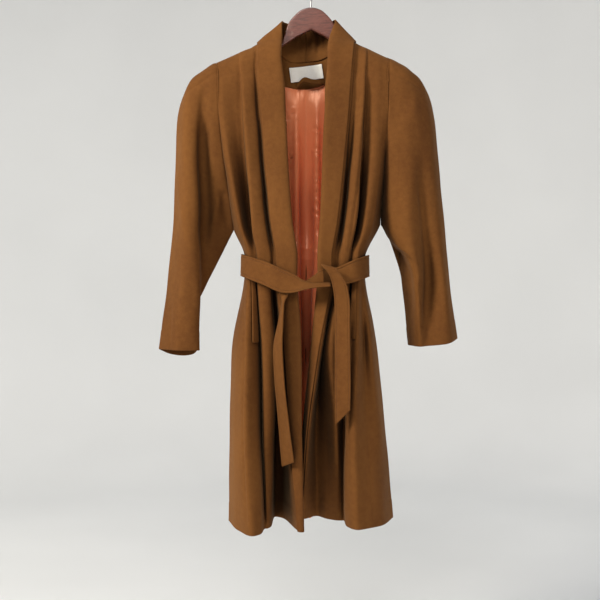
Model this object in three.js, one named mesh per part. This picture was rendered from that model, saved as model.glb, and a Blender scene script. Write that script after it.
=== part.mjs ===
// A belted shawl-collar wrap coat hanging open on a wooden hanger.
//
// Millimetres. +Z is up, +X is the coat's left side (the right hand of someone facing it),
// and the coat faces -Y. The origin is the inside top of the hook, where a rail bears on it.
//
// Every cloth panel is draped over a short table: one row for each fold line, with the place of that
// line at a few named heights. Rows are joined by smooth curves, and the surface gets a wall thickness.

import * as THREE from 'three';

// ---- driving dimensions ----
const WOOL = 2.2; // coating wall
const COLLAR_CLOTH = 3.4; // two layers of coating pressed together
const SATIN = 1.0; // lining wall
const BELT_CLOTH = 3.6; // belt, two layers and a stiffener
const BELT_HALF_WIDTH = 22;
const LAYER_GAP = 0.7; // free space between cloth layers that lie on each other
const SEAM_GAP = 1.1; // each panel stops this far short of its seam line
const SIDE_GAP = { body: 1.3, sleeve: 3.5 }; // the same at the sides; sleeve seams meet at sharp angles
const CORNER_SHARE = 4.2; // times the side gap at the top corners, where three seams run together
const CINCH_HALF_HEIGHT = 24; // the belt holds the folds still this far above and below the waist
const HANGER_THICKNESS = 12;
const HANGER_SET_FORWARD = -0.5; // along Y, from the hook's wire
const HOOK_WIRE_RADIUS = 1.7;
const HOOK_BEND_RADIUS = 20;

const YOKE = -215;
const CHEST = -300;
const UNDERARM = -540;
const WAIST = -632;
const HIP = -800;
const KNEE = -990;
const HEM = -1183;
const LINING_HEM = -1160;
const ELBOW = -680;

// Armhole and side lines turn a corner at the underarm, and armhole lines at the elbow too. Corners are
// counted in heights from the top, from 0.
const SIDE_CORNERS = [3];
const ARMHOLE_CORNERS = [3, 4];

// The shoulder seams fall from the neck points to the armholes.
const SHOULDER = {
  right: { neckX: -99, neckZ: -137, fall: 0.454 },
  left: { neckX: 77, neckZ: -132, fall: 0.4725 },
};

function seamHeight(side, x) {
  const { neckX, neckZ, fall } = SHOULDER[side];
  return neckZ - fall * Math.abs(x - neckX);
}

// ---- fold tables ----
// Fronts and back. x and y at: shoulder, yoke, chest, underarm, waist, hip, knee, hem. A row may have its
// own height for the underarm, and a sleeve's row for the elbow.

const FRONT_RIGHT = [
  {
    fold: 'edge',
    x: [-99, -65, -60, -45, -35, -26, -25, -20],
    y: [-3, -52, -62, -92, -98, -98, -104, -112],
  },
  {
    fold: 'band',
    x: [-114, -113, -105, -83, -72, -56, -43, -26],
    y: [-3, -48, -58, -86, -92, -92, -98, -108],
  },
  {
    fold: 'gully',
    x: [-119, -117, -112, -91, -79, -68, -62, -62],
    y: [-3, -42, -46, -62, -84, -25, -5, -2],
  },
  {
    fold: 'gully far side',
    x: [-122, -119, -115, -95, -83, -77, -78, -79],
    y: [-3, -42, -46, -66, -84, -38, -5, 10],
  },
  {
    fold: 'flat',
    x: [-130, -124, -120, -101, -89, -81, -82, -87],
    y: [-3, -46, -54, -84, -91, -88, -85, -75],
  },
  {
    fold: 'pleat',
    x: [-154, -150, -146, -124, -112, -101, -98, -92],
    y: [-3, -47, -58, -87, -91, -92, -95, -88],
  },
  {
    fold: 'trough',
    x: [-157, -153, -151, -130, -116, -107, -105, -98],
    y: [-3, -44, -50, -48, -80, -42, -50, -92],
  },
  {
    fold: 'trough far side',
    x: [-165, -162, -162, -136, -121, -115, -113, -106],
    y: [-3, -44, -50, -51, -80, -84, -106, -136],
  },
  {
    fold: 'ridge',
    x: [-184, -185, -187, -151, -131, -135, -137, -122],
    y: [-3, -44, -54, -76, -82, -103, -124, -148],
  },
  {
    fold: 'fall',
    x: [-198, -195, -194, -161, -138, -154, -159, -153],
    y: [-3, -43, -52, -52, -62, -74, -88, -102],
  },
  {
    fold: 'side', underarm: -550, corners: SIDE_CORNERS,
    x: [-207, -201, -198, -169, -144, -171, -177, -179],
    y: [-3, -42, -50, -8, -22, -20, -20, -22],
  },
];

const FRONT_LEFT = [
  {
    fold: 'edge',
    x: [77, 38, 33, 22, 17, 3, -15, -24],
    y: [-3, -52, -62, -88, -94, -82, -60, 5],
  },
  {
    fold: 'band',
    x: [96, 88, 81, 55, 43, 19, -7, -18],
    y: [-3, -48, -58, -84, -90, -98, -90, -8],
  },
  {
    fold: 'gully',
    x: [101, 93, 85, 64, 54, 26, 11, 14],
    y: [-3, -43, -52, -54, -82, -52, -10, 16],
  },
  {
    fold: 'gully far side',
    x: [104, 97, 91, 69, 59, 31, 33, 35],
    y: [-3, -44, -51, -58, -86, -80, -26, -8],
  },
  {
    fold: 'pleat',
    x: [112, 107, 99, 75, 64, 44, 54, 57],
    y: [-3, -46, -55, -83, -91, -94, -58, -22],
  },
  {
    fold: 'pleat edge',
    x: [120, 115, 111, 93, 78, 62, 63, 65],
    y: [-3, -48, -59, -87, -90, -78, -50, -24],
  },
  {
    fold: 'trough',
    x: [124, 119, 116, 97, 84, 72, 70, 71],
    y: [-3, -44, -46, -48, -80, -60, -42, -24],
  },
  {
    fold: 'sharp edge',
    x: [130, 126, 122, 102, 88, 83, 76, 77],
    y: [-3, -44, -47, -54, -84, -92, -88, -74],
  },
  {
    fold: 'ridge',
    x: [147, 144, 139, 114, 97, 95, 88, 95],
    y: [-3, -45, -55, -77, -88, -100, -106, -101],
  },
  {
    fold: 'dip',
    x: [157, 153, 151, 128, 103, 113, 115, 116],
    y: [-3, -44, -53, -70, -80, -58, -84, -90],
  },
  {
    fold: 'fall',
    x: [164, 160, 159, 136, 111, 124, 141, 150],
    y: [-3, -43, -51, -46, -62, -66, -70, -64],
  },
  {
    fold: 'side', corners: SIDE_CORNERS,
    x: [168, 165, 164, 152, 117, 143, 163, 181],
    y: [-3, -42, -50, -8, -22, -15, -5, 6],
  },
];

// The back has its own top height in each row, because the neck dips between the shoulders.
const BACK = [
  {
    fold: 'right side', top: -186, underarm: -550, corners: SIDE_CORNERS,
    x: [-207, -199, -190, -169, -144, -171, -177, -179],
    y: [-3, 20, 24, -8, -22, -20, -20, -22],
  },
  {
    fold: 'right fall', top: -175,
    x: [-182, -178, -172, -150, -130, -150, -160, -165],
    y: [-3, 26, 34, 28, 14, 26, 34, 40],
  },
  {
    fold: 'right fold', top: -160,
    x: [-150, -150, -148, -118, -100, -118, -125, -130],
    y: [-3, 28, 38, 40, 22, 46, 52, 60],
  },
  {
    fold: 'right neck', top: -137,
    x: [-99, -98, -96, -70, -66, -74, -78, -80],
    y: [-2, 30, 40, 34, 20, 34, 38, 44],
  },
  {
    fold: 'right of centre', roll: false, top: -168,
    x: [-55, -56, -55, -42, -38, -42, -44, -46],
    y: [26, 32, 41, 42, 24, 48, 54, 60],
  },
  {
    fold: 'centre', roll: false, top: -178,
    x: [-11, -11, -11, -11, -11, -12, -12, -12],
    y: [33, 35, 42, 38, 22, 38, 42, 46],
  },
  {
    fold: 'left of centre', roll: false, top: -166,
    x: [38, 36, 32, 20, 16, 18, 20, 22],
    y: [29, 32, 41, 42, 24, 48, 56, 62],
  },
  {
    fold: 'left neck', top: -132,
    x: [77, 76, 74, 50, 44, 52, 58, 62],
    y: [1, 30, 40, 34, 20, 34, 40, 46],
  },
  {
    fold: 'left fold', top: -155,
    x: [125, 126, 122, 96, 78, 92, 104, 112],
    y: [-3, 28, 38, 40, 22, 46, 52, 60],
  },
  {
    fold: 'left fall', top: -166,
    x: [150, 148, 145, 122, 104, 124, 140, 152],
    y: [-3, 26, 34, 28, 14, 28, 36, 44],
  },
  {
    fold: 'left side', top: -175, corners: SIDE_CORNERS,
    x: [168, 163, 157, 152, 117, 143, 163, 181],
    y: [-3, 20, 24, -8, -22, -15, -5, 6],
  },
];

// Sleeves. x and y at: cap top, cap, chest, underarm, elbow, cuff. The heights of the first, second and
// last are in the row, because the cap slopes and the cuff is not level.
const SLEEVE_RIGHT_FRONT = [
  {
    fold: 'armhole', top: -186, cap: YOKE, cuff: -815, underarm: -550, elbow: -712, corners: ARMHOLE_CORNERS,
    x: [-207, -201, -198, -169, -252, -252],
    y: [-3, -42, -50, -8, 12, 10],
  },
  {
    fold: 'inner', top: -189, cap: -220, cuff: -814, elbow: -712,
    x: [-215, -214, -215, -209, -250, -251],
    y: [-3, -42, -50, -12, -2, -4],
  },
  {
    fold: 'trough', top: -199, cap: -232, cuff: -813, elbow: -700,
    x: [-231, -231, -234, -236, -244, -246],
    y: [-3, -42, -44, -14, -24, -26],
  },
  {
    fold: 'lip', top: -207, cap: -242, cuff: -812,
    x: [-242, -243, -247, -240, -241, -243],
    y: [-3, -42, -50, -58, -58, -48],
  },
  {
    fold: 'crest', top: -219, cap: -254, cuff: -812,
    x: [-257, -266, -270, -266, -271, -281],
    y: [-3, -36, -46, -64, -62, -54],
  },
  {
    fold: 'outer', roll: false, top: -238, cap: -268, cuff: -811,
    x: [-270, -284, -292, -303, -317, -334],
    y: [-3, -6, -6, -6, -6, -8],
  },
];

const SLEEVE_RIGHT_BACK = [
  {
    fold: 'outer', roll: false, top: -238, cap: -268, cuff: -811,
    x: [-270, -284, -292, -303, -317, -334],
    y: [-3, -6, -6, -6, -6, -8],
  },
  {
    fold: 'outer back', top: -213, cap: -250, cuff: -824,
    x: [-250, -262, -270, -285, -300, -312],
    y: [-3, 14, 22, 30, 28, 24],
  },
  {
    fold: 'middle back', top: -197, cap: -232, cuff: -828,
    x: [-228, -235, -238, -245, -272, -284],
    y: [-3, 20, 30, 36, 36, 32],
  },
  {
    fold: 'inner back', top: -189, cap: -220, cuff: -824, elbow: -712,
    x: [-214, -212, -208, -204, -263, -262],
    y: [-3, 20, 27, 20, 28, 26],
  },
  {
    fold: 'armhole', top: -186, cap: YOKE, cuff: -815, underarm: -550, elbow: -712, corners: ARMHOLE_CORNERS,
    x: [-207, -199, -190, -169, -252, -252],
    y: [-3, 20, 24, -8, 12, 10],
  },
];

const SLEEVE_LEFT_FRONT = [
  {
    fold: 'armhole', top: -175, cap: YOKE, cuff: -803, elbow: -592, corners: ARMHOLE_CORNERS,
    x: [168, 165, 164, 152, 193, 215],
    y: [-3, -42, -50, -8, 4, 10],
  },
  {
    fold: 'inner', top: -178, cap: -218, cuff: -803, elbow: -640,
    x: [176, 176, 180, 170, 212, 218],
    y: [-3, -43, -52, -44, -30, -14],
  },
  {
    fold: 'broad', top: -188, cap: -228, cuff: -804,
    x: [195, 199, 207, 208, 227, 233],
    y: [-3, -43, -54, -64, -57, -46],
  },
  {
    fold: 'trough', top: -201, cap: -240, cuff: -803,
    x: [215, 223, 231, 245, 256, 247],
    y: [-3, -38, -49, -42, -26, -42],
  },
  {
    fold: 'crest', top: -215, cap: -252, cuff: -798,
    x: [231, 242, 252, 272, 286, 293],
    y: [-3, -28, -37, -38, -40, -44],
  },
  {
    fold: 'outer', roll: false, top: -233, cap: -266, cuff: -788,
    x: [244, 262, 269, 293, 306, 321],
    y: [-3, -6, -6, -6, -6, -8],
  },
];

const SLEEVE_LEFT_BACK = [
  {
    fold: 'outer', roll: false, top: -233, cap: -266, cuff: -788,
    x: [244, 262, 269, 293, 306, 321],
    y: [-3, -6, -6, -6, -6, -8],
  },
  {
    fold: 'outer back', top: -212, cap: -248, cuff: -796,
    x: [228, 240, 248, 275, 290, 302],
    y: [-3, 14, 22, 30, 30, 26],
  },
  {
    fold: 'middle back', top: -190, cap: -230, cuff: -806,
    x: [200, 206, 212, 228, 250, 266],
    y: [-3, 20, 30, 36, 38, 34],
  },
  {
    fold: 'inner back', top: -178, cap: -218, cuff: -806,
    x: [175, 174, 176, 182, 214, 234],
    y: [-3, 20, 27, 22, 30, 26],
  },
  {
    fold: 'armhole', top: -175, cap: YOKE, cuff: -803, elbow: -592, corners: ARMHOLE_CORNERS,
    x: [168, 163, 157, 152, 193, 215],
    y: [-3, 20, 24, -8, 4, 10],
  },
];

// Linings. x and y at: lining top, chest, underarm, waist, hip, knee, lining hem.
const LINING_BACK = [
  {
    fold: 'right side',
    x: [-180, -180, -160, -134, -161, -167, -169],
    y: [10, 12, 0, -13, -10, -10, -12],
  },
  {
    fold: 'right fall',
    x: [-140, -140, -118, -98, -112, -118, -122],
    y: [22, 28, 28, 12, 28, 34, 40],
  },
  {
    fold: 'right hollow',
    x: [-76, -76, -60, -54, -60, -64, -66],
    y: [24, 32, 28, 12, 26, 30, 34],
  },
  {
    fold: 'right ridge',
    x: [-32, -32, -32, -32, -30, -28, -28],
    y: [26, 26, 14, 2, 16, 22, 28],
  },
  {
    fold: 'centre',
    x: [-11, -11, -11, -11, -11, -11, -12],
    y: [28, 32, 28, 13, 29, 34, 38],
  },
  {
    fold: 'left ridge',
    x: [12, 12, 13, 13, 6, 6, 6],
    y: [26, 25, 12, 0, 14, 24, 30],
  },
  {
    fold: 'left hollow',
    x: [54, 52, 36, 32, 36, 42, 46],
    y: [24, 32, 27, 12, 26, 31, 36],
  },
  {
    fold: 'left fall',
    x: [118, 116, 94, 78, 90, 100, 108],
    y: [22, 28, 28, 12, 28, 36, 44],
  },
  {
    fold: 'left side',
    x: [150, 148, 134, 107, 132, 150, 165],
    y: [10, 12, 0, -13, -4, 4, 14],
  },
];

const LINING_FRONT_RIGHT = [
  {
    fold: 'gully',
    x: [-116, -110, -89, -77, -66, -60, -60],
    y: [-34, -36, -53, -76, -16, 4, 7],
  },
  {
    fold: 'gully far side',
    x: [-124, -118, -96, -84, -78, -80, -81],
    y: [-32, -34, -55, -75, -20, 5, 20],
  },
  {
    fold: 'trough',
    x: [-150, -150, -130, -116, -106, -104, -96],
    y: [-30, -34, -40, -71, -34, -42, -52],
  },
  {
    fold: 'ridge',
    x: [-176, -174, -146, -127, -128, -126, -117],
    y: [-28, -29, -38, -58, -58, -80, -100],
  },
  {
    fold: 'side',
    x: [-188, -186, -162, -136, -163, -169, -171],
    y: [-8, -8, -8, -21, -15, -16, -18],
  },
];

const LINING_FRONT_LEFT = [
  {
    fold: 'gully',
    x: [92, 87, 63, 53, 26, 8, 10],
    y: [-34, -32, -36, -75, -30, 0, 25],
  },
  {
    fold: 'pleat',
    x: [114, 107, 84, 69, 50, 50, 52],
    y: [-32, -34, -50, -75, -46, -16, 1],
  },
  {
    fold: 'trough',
    x: [124, 126, 101, 84, 76, 76, 78],
    y: [-30, -30, -42, -72, -51, -29, -15],
  },
  {
    fold: 'ridge',
    x: [146, 143, 114, 98, 98, 98, 102],
    y: [-30, -34, -46, -68, -38, -62, -76],
  },
  {
    fold: 'fall',
    x: [154, 151, 127, 106, 120, 134, 144],
    y: [-28, -29, -34, -52, -36, -54, -50],
  },
  {
    fold: 'side',
    x: [157, 153, 136, 111, 135, 155, 172],
    y: [-8, -8, -8, -21, -10, -2, 9],
  },
];

// ---- surfaces ----

const point = (x, y, z) => new THREE.Vector3(x, y, z);
const smooth = (points) => new THREE.CatmullRomCurve3(points, false, 'centripetal');

// The place on a smooth line through points, where `at` counts points from 0.
function along(points, at) {
  const last = points.length - 1;
  return last === 0 ? points[0].clone() : smooth(points).getPoint(Math.min(at / last, 1));
}

// A fold line's points. The waist counts twice, above and below the belt.
function linePoints(line, heights) {
  const points = [];
  line.x.forEach((x, level) => {
    const z = heights[level];
    if (z === WAIST) {
      points.push(point(x, line.y[level], z + CINCH_HALF_HEIGHT));
      points.push(point(x, line.y[level], z - CINCH_HALF_HEIGHT));
    } else {
      points.push(point(x, line.y[level], z));
    }
  });
  return points;
}

// A fold line at a height counted in levels. Over the shoulder it is a quarter of an ellipse.
function onLine(line, points, level) {
  if (line.roll && level < 1) {
    const turn = (level * Math.PI) / 2;
    const [a, b] = points;
    const down = 1 - Math.cos(turn);
    return point(
      a.x + (b.x - a.x) * level,
      a.y + (b.y - a.y) * Math.sin(turn),
      a.z + (b.z - a.z) * down,
    );
  }
  const corners = line.corners ?? [];
  const from = Math.max(0, ...corners.filter((corner) => corner < level));
  const to = Math.min(points.length - 1, ...corners.filter((corner) => corner >= level));
  return along(points.slice(from, to + 1), level - from);
}

// A grid of points over a fold table: `rows` lists levels, `columns` lists places between fold lines.
function drape(table, heightsOf, rows, columns) {
  const lines = table.map((line) => ({ line, points: linePoints(line, heightsOf(line)) }));
  return rows.map((level) => {
    const section = lines.map(({ line, points }) => onLine(line, points, level));
    return columns.map((column) => along(section, column));
  });
}

// Evenly spaced steps through each span between whole numbers.
function steps(counts, from = 0) {
  const list = [from];
  counts.forEach((count, span) => {
    for (let k = 1; k <= count; k += 1) {
      list.push(from + span + k / count);
    }
  });
  return list;
}

const spans = (count, each) => steps(Array(count).fill(each));

// Unit normals of a grid. `beyond` may give the points that lie past its first and last columns, so
// that two panels that share a seam lean the same way there.
function normalsOf(grid, beyond = {}) {
  const last = { row: grid.length - 1, column: grid[0].length - 1 };
  return grid.map((row, i) => row.map((_, j) => {
    const before = j > 0 ? row[j - 1] : (beyond.first?.[i] ?? row[0]);
    const after = j < last.column ? row[j + 1] : (beyond.last?.[i] ?? row[last.column]);
    const down = grid[Math.min(i + 1, last.row)][j].clone().sub(grid[Math.max(i - 1, 0)][j]);
    return after.clone().sub(before).cross(down).normalize();
  }));
}

// The same grid moved along its normals.
function moved(grid, distance, beyond) {
  const normals = normalsOf(grid, beyond);
  return grid.map((row, i) => row.map((p, j) => p.clone().addScaledVector(normals[i][j], distance)));
}

// Pull the edges of a grid back from its seam lines.
function trimmed(grid, sideGap) {
  const out = grid.map((row) => row.map((p) => p.clone()));
  const pull = (p, next, gap) => p.addScaledVector(next.clone().sub(p).normalize(), gap);
  out.forEach((row, i) => {
    const gap = i === 0 ? sideGap * CORNER_SHARE : sideGap;
    pull(row[0], row[1], gap);
    pull(row[row.length - 1], row[row.length - 2], gap);
  });
  out[0].forEach((p, j) => pull(p, out[1][j], SEAM_GAP));
  out[out.length - 1].forEach((p, j) => pull(p, out[out.length - 2][j], SEAM_GAP));
  return out;
}

// Points between a grid's own points, at places counted in its rows and columns.
function patch(grid, rowPlaces, columnPlaces) {
  const between = (list, place, mix) => {
    const k = Math.min(Math.floor(place), list.length - 2);
    return mix(list[k], list[k + 1], place - k);
  };
  const mixPoints = (a, b, t) => a.clone().lerp(b, t);
  return rowPlaces.map((row) => columnPlaces.map((column) => between(
    grid,
    row,
    (upper, lower, t) => mixPoints(between(upper, column, mixPoints), between(lower, column, mixPoints), t),
  )));
}

// One closed wall of even thickness about a grid.
function wall(grid, thickness, beyond) {
  const rows = grid.length;
  const columns = grid[0].length;
  const faces = [moved(grid, thickness / 2, beyond), moved(grid, -thickness / 2, beyond)];
  const positions = faces.flat(2).flatMap((p) => [p.x, p.y, p.z]);
  const at = (face, i, j) => face * rows * columns + i * columns + j;
  const index = [];
  const quad = (a, b, c, d) => index.push(a, b, c, a, c, d);
  for (let i = 0; i < rows - 1; i += 1) {
    for (let j = 0; j < columns - 1; j += 1) {
      quad(at(0, i, j), at(0, i, j + 1), at(0, i + 1, j + 1), at(0, i + 1, j));
      quad(at(1, i, j), at(1, i + 1, j), at(1, i + 1, j + 1), at(1, i, j + 1));
    }
  }
  for (let j = 0; j < columns - 1; j += 1) {
    quad(at(0, 0, j + 1), at(0, 0, j), at(1, 0, j), at(1, 0, j + 1));
    quad(at(0, rows - 1, j), at(0, rows - 1, j + 1), at(1, rows - 1, j + 1), at(1, rows - 1, j));
  }
  const end = columns - 1;
  for (let i = 0; i < rows - 1; i += 1) {
    quad(at(0, i, 0), at(0, i + 1, 0), at(1, i + 1, 0), at(1, i, 0));
    quad(at(0, i + 1, end), at(0, i, end), at(1, i, end), at(1, i + 1, end));
  }
  const geometry = new THREE.BufferGeometry();
  geometry.setAttribute('position', new THREE.Float32BufferAttribute(positions, 3));
  geometry.setIndex(index);
  geometry.computeVertexNormals();
  return geometry;
}

// A strip along a list of stations, each a centre and the reach from the centre to one edge.
function strip(stations, perSpan, thickness) {
  const levels = spans(stations.length - 1, perSpan);
  const centres = stations.map((s) => point(...s.centre));
  const reaches = stations.map((s) => point(...s.reach));
  const grid = levels.map((level) => {
    const centre = along(centres, level);
    const reach = along(reaches, level);
    return [-1, 0, 1].map((side) => centre.clone().addScaledVector(reach, side));
  });
  return wall(grid, thickness);
}

// ---- materials ----

const coating = () => new THREE.MeshStandardMaterial({ color: 0x7a4a22, roughness: 0.92, metalness: 0 });
const satin = () => new THREE.MeshStandardMaterial({ color: 0xb8603f, roughness: 0.4, metalness: 0 });
const labelCloth = () => new THREE.MeshStandardMaterial({ color: 0xded9cb, roughness: 0.7, metalness: 0 });
const lacquer = () => new THREE.MeshStandardMaterial({ color: 0x5a2a22, roughness: 0.3, metalness: 0 });
const steel = () => new THREE.MeshStandardMaterial({ color: 0xb5b5b8, roughness: 0.3, metalness: 1 });

const coat = new THREE.Group();

function add(name, geometry, material) {
  const mesh = new THREE.Mesh(geometry, material);
  mesh.name = name;
  coat.add(mesh);
  return mesh;
}

// ---- shell panels ----

const bodyHeights = (line, top) => [top, YOKE, CHEST, line.underarm ?? UNDERARM, WAIST, HIP, KNEE, HEM];
const ARM_ROWS = steps([4, 1, 3]);
const BODY_ROWS = steps([4, 1, 3, 1, 1, 3, 2, 2]);
const frontHeights = (side) => (line) => bodyHeights(line, seamHeight(side, line.x[0]));
const backHeights = (line) => bodyHeights(line, line.top);
const rolled = (table) => table.map((line) => ({ roll: true, ...line }));

const front = {
  right: (rows, columns) => drape(rolled(FRONT_RIGHT), frontHeights('right'), rows, columns),
  left: (rows, columns) => drape(rolled(FRONT_LEFT), frontHeights('left'), rows, columns),
};
const back = (rows, columns) => drape(rolled(BACK), backHeights, rows, columns);

const SLEEVE_ROWS = steps([4, 1, 3, 3, 3]);
const sleeveHeights = (line) => [
  line.top, line.cap, CHEST, line.underarm ?? UNDERARM, line.elbow ?? ELBOW, line.cuff,
];
const PER_FOLD = 2; // columns from one fold line to the next
const columnsOf = (table) => spans(table.length - 1, PER_FOLD);
const sleeve = (table) => drape(rolled(table), sleeveHeights, SLEEVE_ROWS, columnsOf(table));

const grids = {
  frontRight: front.right(BODY_ROWS, columnsOf(FRONT_RIGHT)),
  frontLeft: front.left(BODY_ROWS, columnsOf(FRONT_LEFT)),
  back: back(BODY_ROWS, columnsOf(BACK)),
  sleeveRightFront: sleeve(SLEEVE_RIGHT_FRONT),
  sleeveRightBack: sleeve(SLEEVE_RIGHT_BACK),
  sleeveLeftFront: sleeve(SLEEVE_LEFT_FRONT),
  sleeveLeftBack: sleeve(SLEEVE_LEFT_BACK),
};

// The second column of a grid from one of its ends, which a neighbour sees past their seam.
const nearFirst = (grid) => grid.map((row) => row[1]);
const nearLast = (grid) => grid.map((row) => row[row.length - 2]);

// Down to the underarm a body panel's side meets the sleeve, and below that the other body panel.
const besideBody = (sleeveColumn, bodyColumn) => (
  bodyColumn.map((p, i) => (i < ARM_ROWS.length ? sleeveColumn[i] : p))
);
const besideSleeve = (bodyColumn, sleeveColumn) => (
  sleeveColumn.map((p, i) => (i < ARM_ROWS.length ? bodyColumn[i] : p))
);

const SHELL = [
  ['front_right', grids.frontRight, {
    last: besideBody(nearFirst(grids.sleeveRightFront), nearFirst(grids.back)),
  }],
  ['front_left', grids.frontLeft, {
    last: besideBody(nearFirst(grids.sleeveLeftFront), nearLast(grids.back)),
  }],
  ['back', grids.back, {
    first: besideBody(nearLast(grids.sleeveRightBack), nearLast(grids.frontRight)),
    last: besideBody(nearLast(grids.sleeveLeftBack), nearLast(grids.frontLeft)),
  }],
  ['sleeve_right_front', grids.sleeveRightFront, {
    first: besideSleeve(nearLast(grids.frontRight), nearLast(grids.sleeveRightBack)),
    last: nearFirst(grids.sleeveRightBack),
  }],
  ['sleeve_right_back', grids.sleeveRightBack, {
    first: nearLast(grids.sleeveRightFront),
    last: besideSleeve(nearFirst(grids.back), nearFirst(grids.sleeveRightFront)),
  }],
  ['sleeve_left_front', grids.sleeveLeftFront, {
    first: besideSleeve(nearLast(grids.frontLeft), nearLast(grids.sleeveLeftBack)),
    last: nearFirst(grids.sleeveLeftBack),
  }],
  ['sleeve_left_back', grids.sleeveLeftBack, {
    first: nearLast(grids.sleeveLeftFront),
    last: besideSleeve(nearLast(grids.back), nearFirst(grids.sleeveLeftFront)),
  }],
];

SHELL.forEach(([name, grid, beyond]) => {
  const sideGap = name.startsWith('sleeve') ? SIDE_GAP.sleeve : SIDE_GAP.body;
  add(name, wall(trimmed(grid, sideGap), WOOL, beyond), coating());
});

// ---- linings ----

const LINING_TOP = -230;
const LINING_HEIGHTS = [LINING_TOP, CHEST, UNDERARM, WAIST, HIP, KNEE, LINING_HEM];
const LINING_ROWS = steps([1, 3, 1, 1, 2, 2, 2]);
const lining = (table) => drape(table, () => LINING_HEIGHTS, LINING_ROWS, columnsOf(table));

add('lining_back', wall(lining(LINING_BACK), SATIN), satin());
add('lining_front_right', wall(lining(LINING_FRONT_RIGHT), SATIN), satin());
add('lining_front_left', wall(lining(LINING_FRONT_LEFT), SATIN), satin());

// ---- collar: a band of double cloth folded over the front edges and round the neck ----

// Stations behind the neck and over the shoulder: the seam end, the fold, and the free edge.
const NECK_STATIONS = {
  right: [
    { seam: [-10.6, 30, -172], fold: [-10.6, 38, -90], free: [-10.6, 52, -178] },
    { seam: [-46, 25, -173], fold: [-40, 32, -90], free: [-56, 47, -176] },
    { seam: [-72, 12, -154], fold: [-57, 18, -90], free: [-92, 35, -160] },
    { seam: [-88, 1, -130], fold: [-64, -3, -93.5], free: [-117, 5.5, -138.5] },
  ],
  left: [
    { seam: [-9.4, 30, -172], fold: [-9.4, 38, -90], free: [-9.4, 52, -178] },
    { seam: [24, 26, -167], fold: [20, 32, -89], free: [34, 47, -176] },
    { seam: [53, 15, -151], fold: [40, 23, -89], free: [72, 36, -160] },
    { seam: [72, 3, -125], fold: [53, -4, -89.5], free: [97.5, 5.5, -136.5] },
  ],
};
const COLLAR_LIFT = WOOL / 2 + LAYER_GAP + COLLAR_CLOTH / 2;
const FIRST_BAND_ROW = 1; // the first row of the fronts, between shoulder and yoke, that the band follows
// Where the band ends, and where its folded-in layer ends, counted in columns of the front.
const BAND = { right: { end: 2, turnIn: 0.35 }, left: { end: 1.75, turnIn: 0.35 } };
// How far the fold stands clear of the fronts' own edges, in the rows just below the shoulder.
const NECK_OVERHANG = { right: [24, 14, 5], left: [23, 17, 8] };

// The collar's section round the front edge of a panel, at one row of the band.
function edgeSection(band, over, under, i, overhang) {
  const outwards = band[i][0].clone().sub(band[i][1]).normalize();
  const tip = band[i][0].clone().addScaledVector(outwards, COLLAR_LIFT + overhang);
  const clear = (p, share = 1) => p.clone().addScaledVector(outwards, share * overhang);
  return [clear(under[i][1], 0.3), clear(under[i][0]), tip, clear(over[i][0]), over[i][2], over[i][3]];
}

// The same number of points on a station behind the neck.
function neckSection({ seam, fold, free }) {
  const [a, b, c] = [seam, fold, free].map((p) => point(...p));
  return [a, a.clone().lerp(b, 0.9), b, b.clone().lerp(c, 0.1), b.clone().lerp(c, 0.5), c];
}

function collar(side, grid, outside) {
  const rows = grid.map((_, i) => i).slice(FIRST_BAND_ROW);
  const band = patch(grid, rows, [0, BAND[side].turnIn, 1, BAND[side].end]);
  const over = moved(band, outside * COLLAR_LIFT);
  const under = moved(band, -outside * COLLAR_LIFT);
  const behind = NECK_STATIONS[side].map(neckSection);
  const before = band.map((_, i) => edgeSection(band, over, under, i, NECK_OVERHANG[side][i] ?? 0));
  const sections = [...behind, ...before];
  const levels = [...spans(behind.length, 2), ...before.slice(1).map((_, k) => behind.length + 1 + k)];
  const lines = sections[0].map((_, k) => sections.map((section) => section[k]));
  return levels.map((level) => lines.map((line) => along(line, level)));
}

add('collar_right', wall(collar('right', grids.frontRight, 1), COLLAR_CLOTH), coating());
add('collar_left', wall(collar('left', grids.frontLeft, -1), COLLAR_CLOTH), coating());

// ---- inside the back of the neck ----

const FACING_LIFT = WOOL + 2 * LAYER_GAP;
const FACING_ROWS = [0.9, 1.4, 2, 3, 4, 4.15]; // rows and columns of the back's own grid
const FACING_COLUMNS = [7.55, 7.75, 8, 9, 10, 11, 12, 12.4, 12.7];
const NECK_CENTRE = { column: 5, x: -11, spacing: 44, top: -178 };

// The back's surface at a place given by x and z, near the middle of the neck.
function insideNeck(x, z, lift) {
  const column = NECK_CENTRE.column + (x - NECK_CENTRE.x) / NECK_CENTRE.spacing;
  const above = (NECK_CENTRE.top - z) / (NECK_CENTRE.top - YOKE);
  const level = above < 1 ? above : 1 + (YOKE - z) / (YOKE - CHEST);
  const [[p]] = back([level], [column]);
  return point(x, p.y - lift, z);
}

const facing = patch(moved(grids.back, -FACING_LIFT), FACING_ROWS, FACING_COLUMNS);
add('back_neck_facing', wall(facing, WOOL), coating());

const LABEL = { x: -10, z: -198.5, width: 72, height: 31, tilt: 0.134, thickness: 0.8 };
const LABEL_LIFT = FACING_LIFT + WOOL / 2 + 2 * LAYER_GAP + LABEL.thickness / 2;
const labelGrid = [0.5, 0, -0.5].map((v) => [-0.5, -0.25, 0, 0.25, 0.5].map((u) => {
  const across = u * LABEL.width;
  const up = v * LABEL.height;
  const x = LABEL.x + across * Math.cos(LABEL.tilt) - up * Math.sin(LABEL.tilt);
  const z = LABEL.z + across * Math.sin(LABEL.tilt) + up * Math.cos(LABEL.tilt);
  return insideNeck(x, z, LABEL_LIFT);
}));
add('label', wall(labelGrid, LABEL.thickness), labelCloth());

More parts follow.
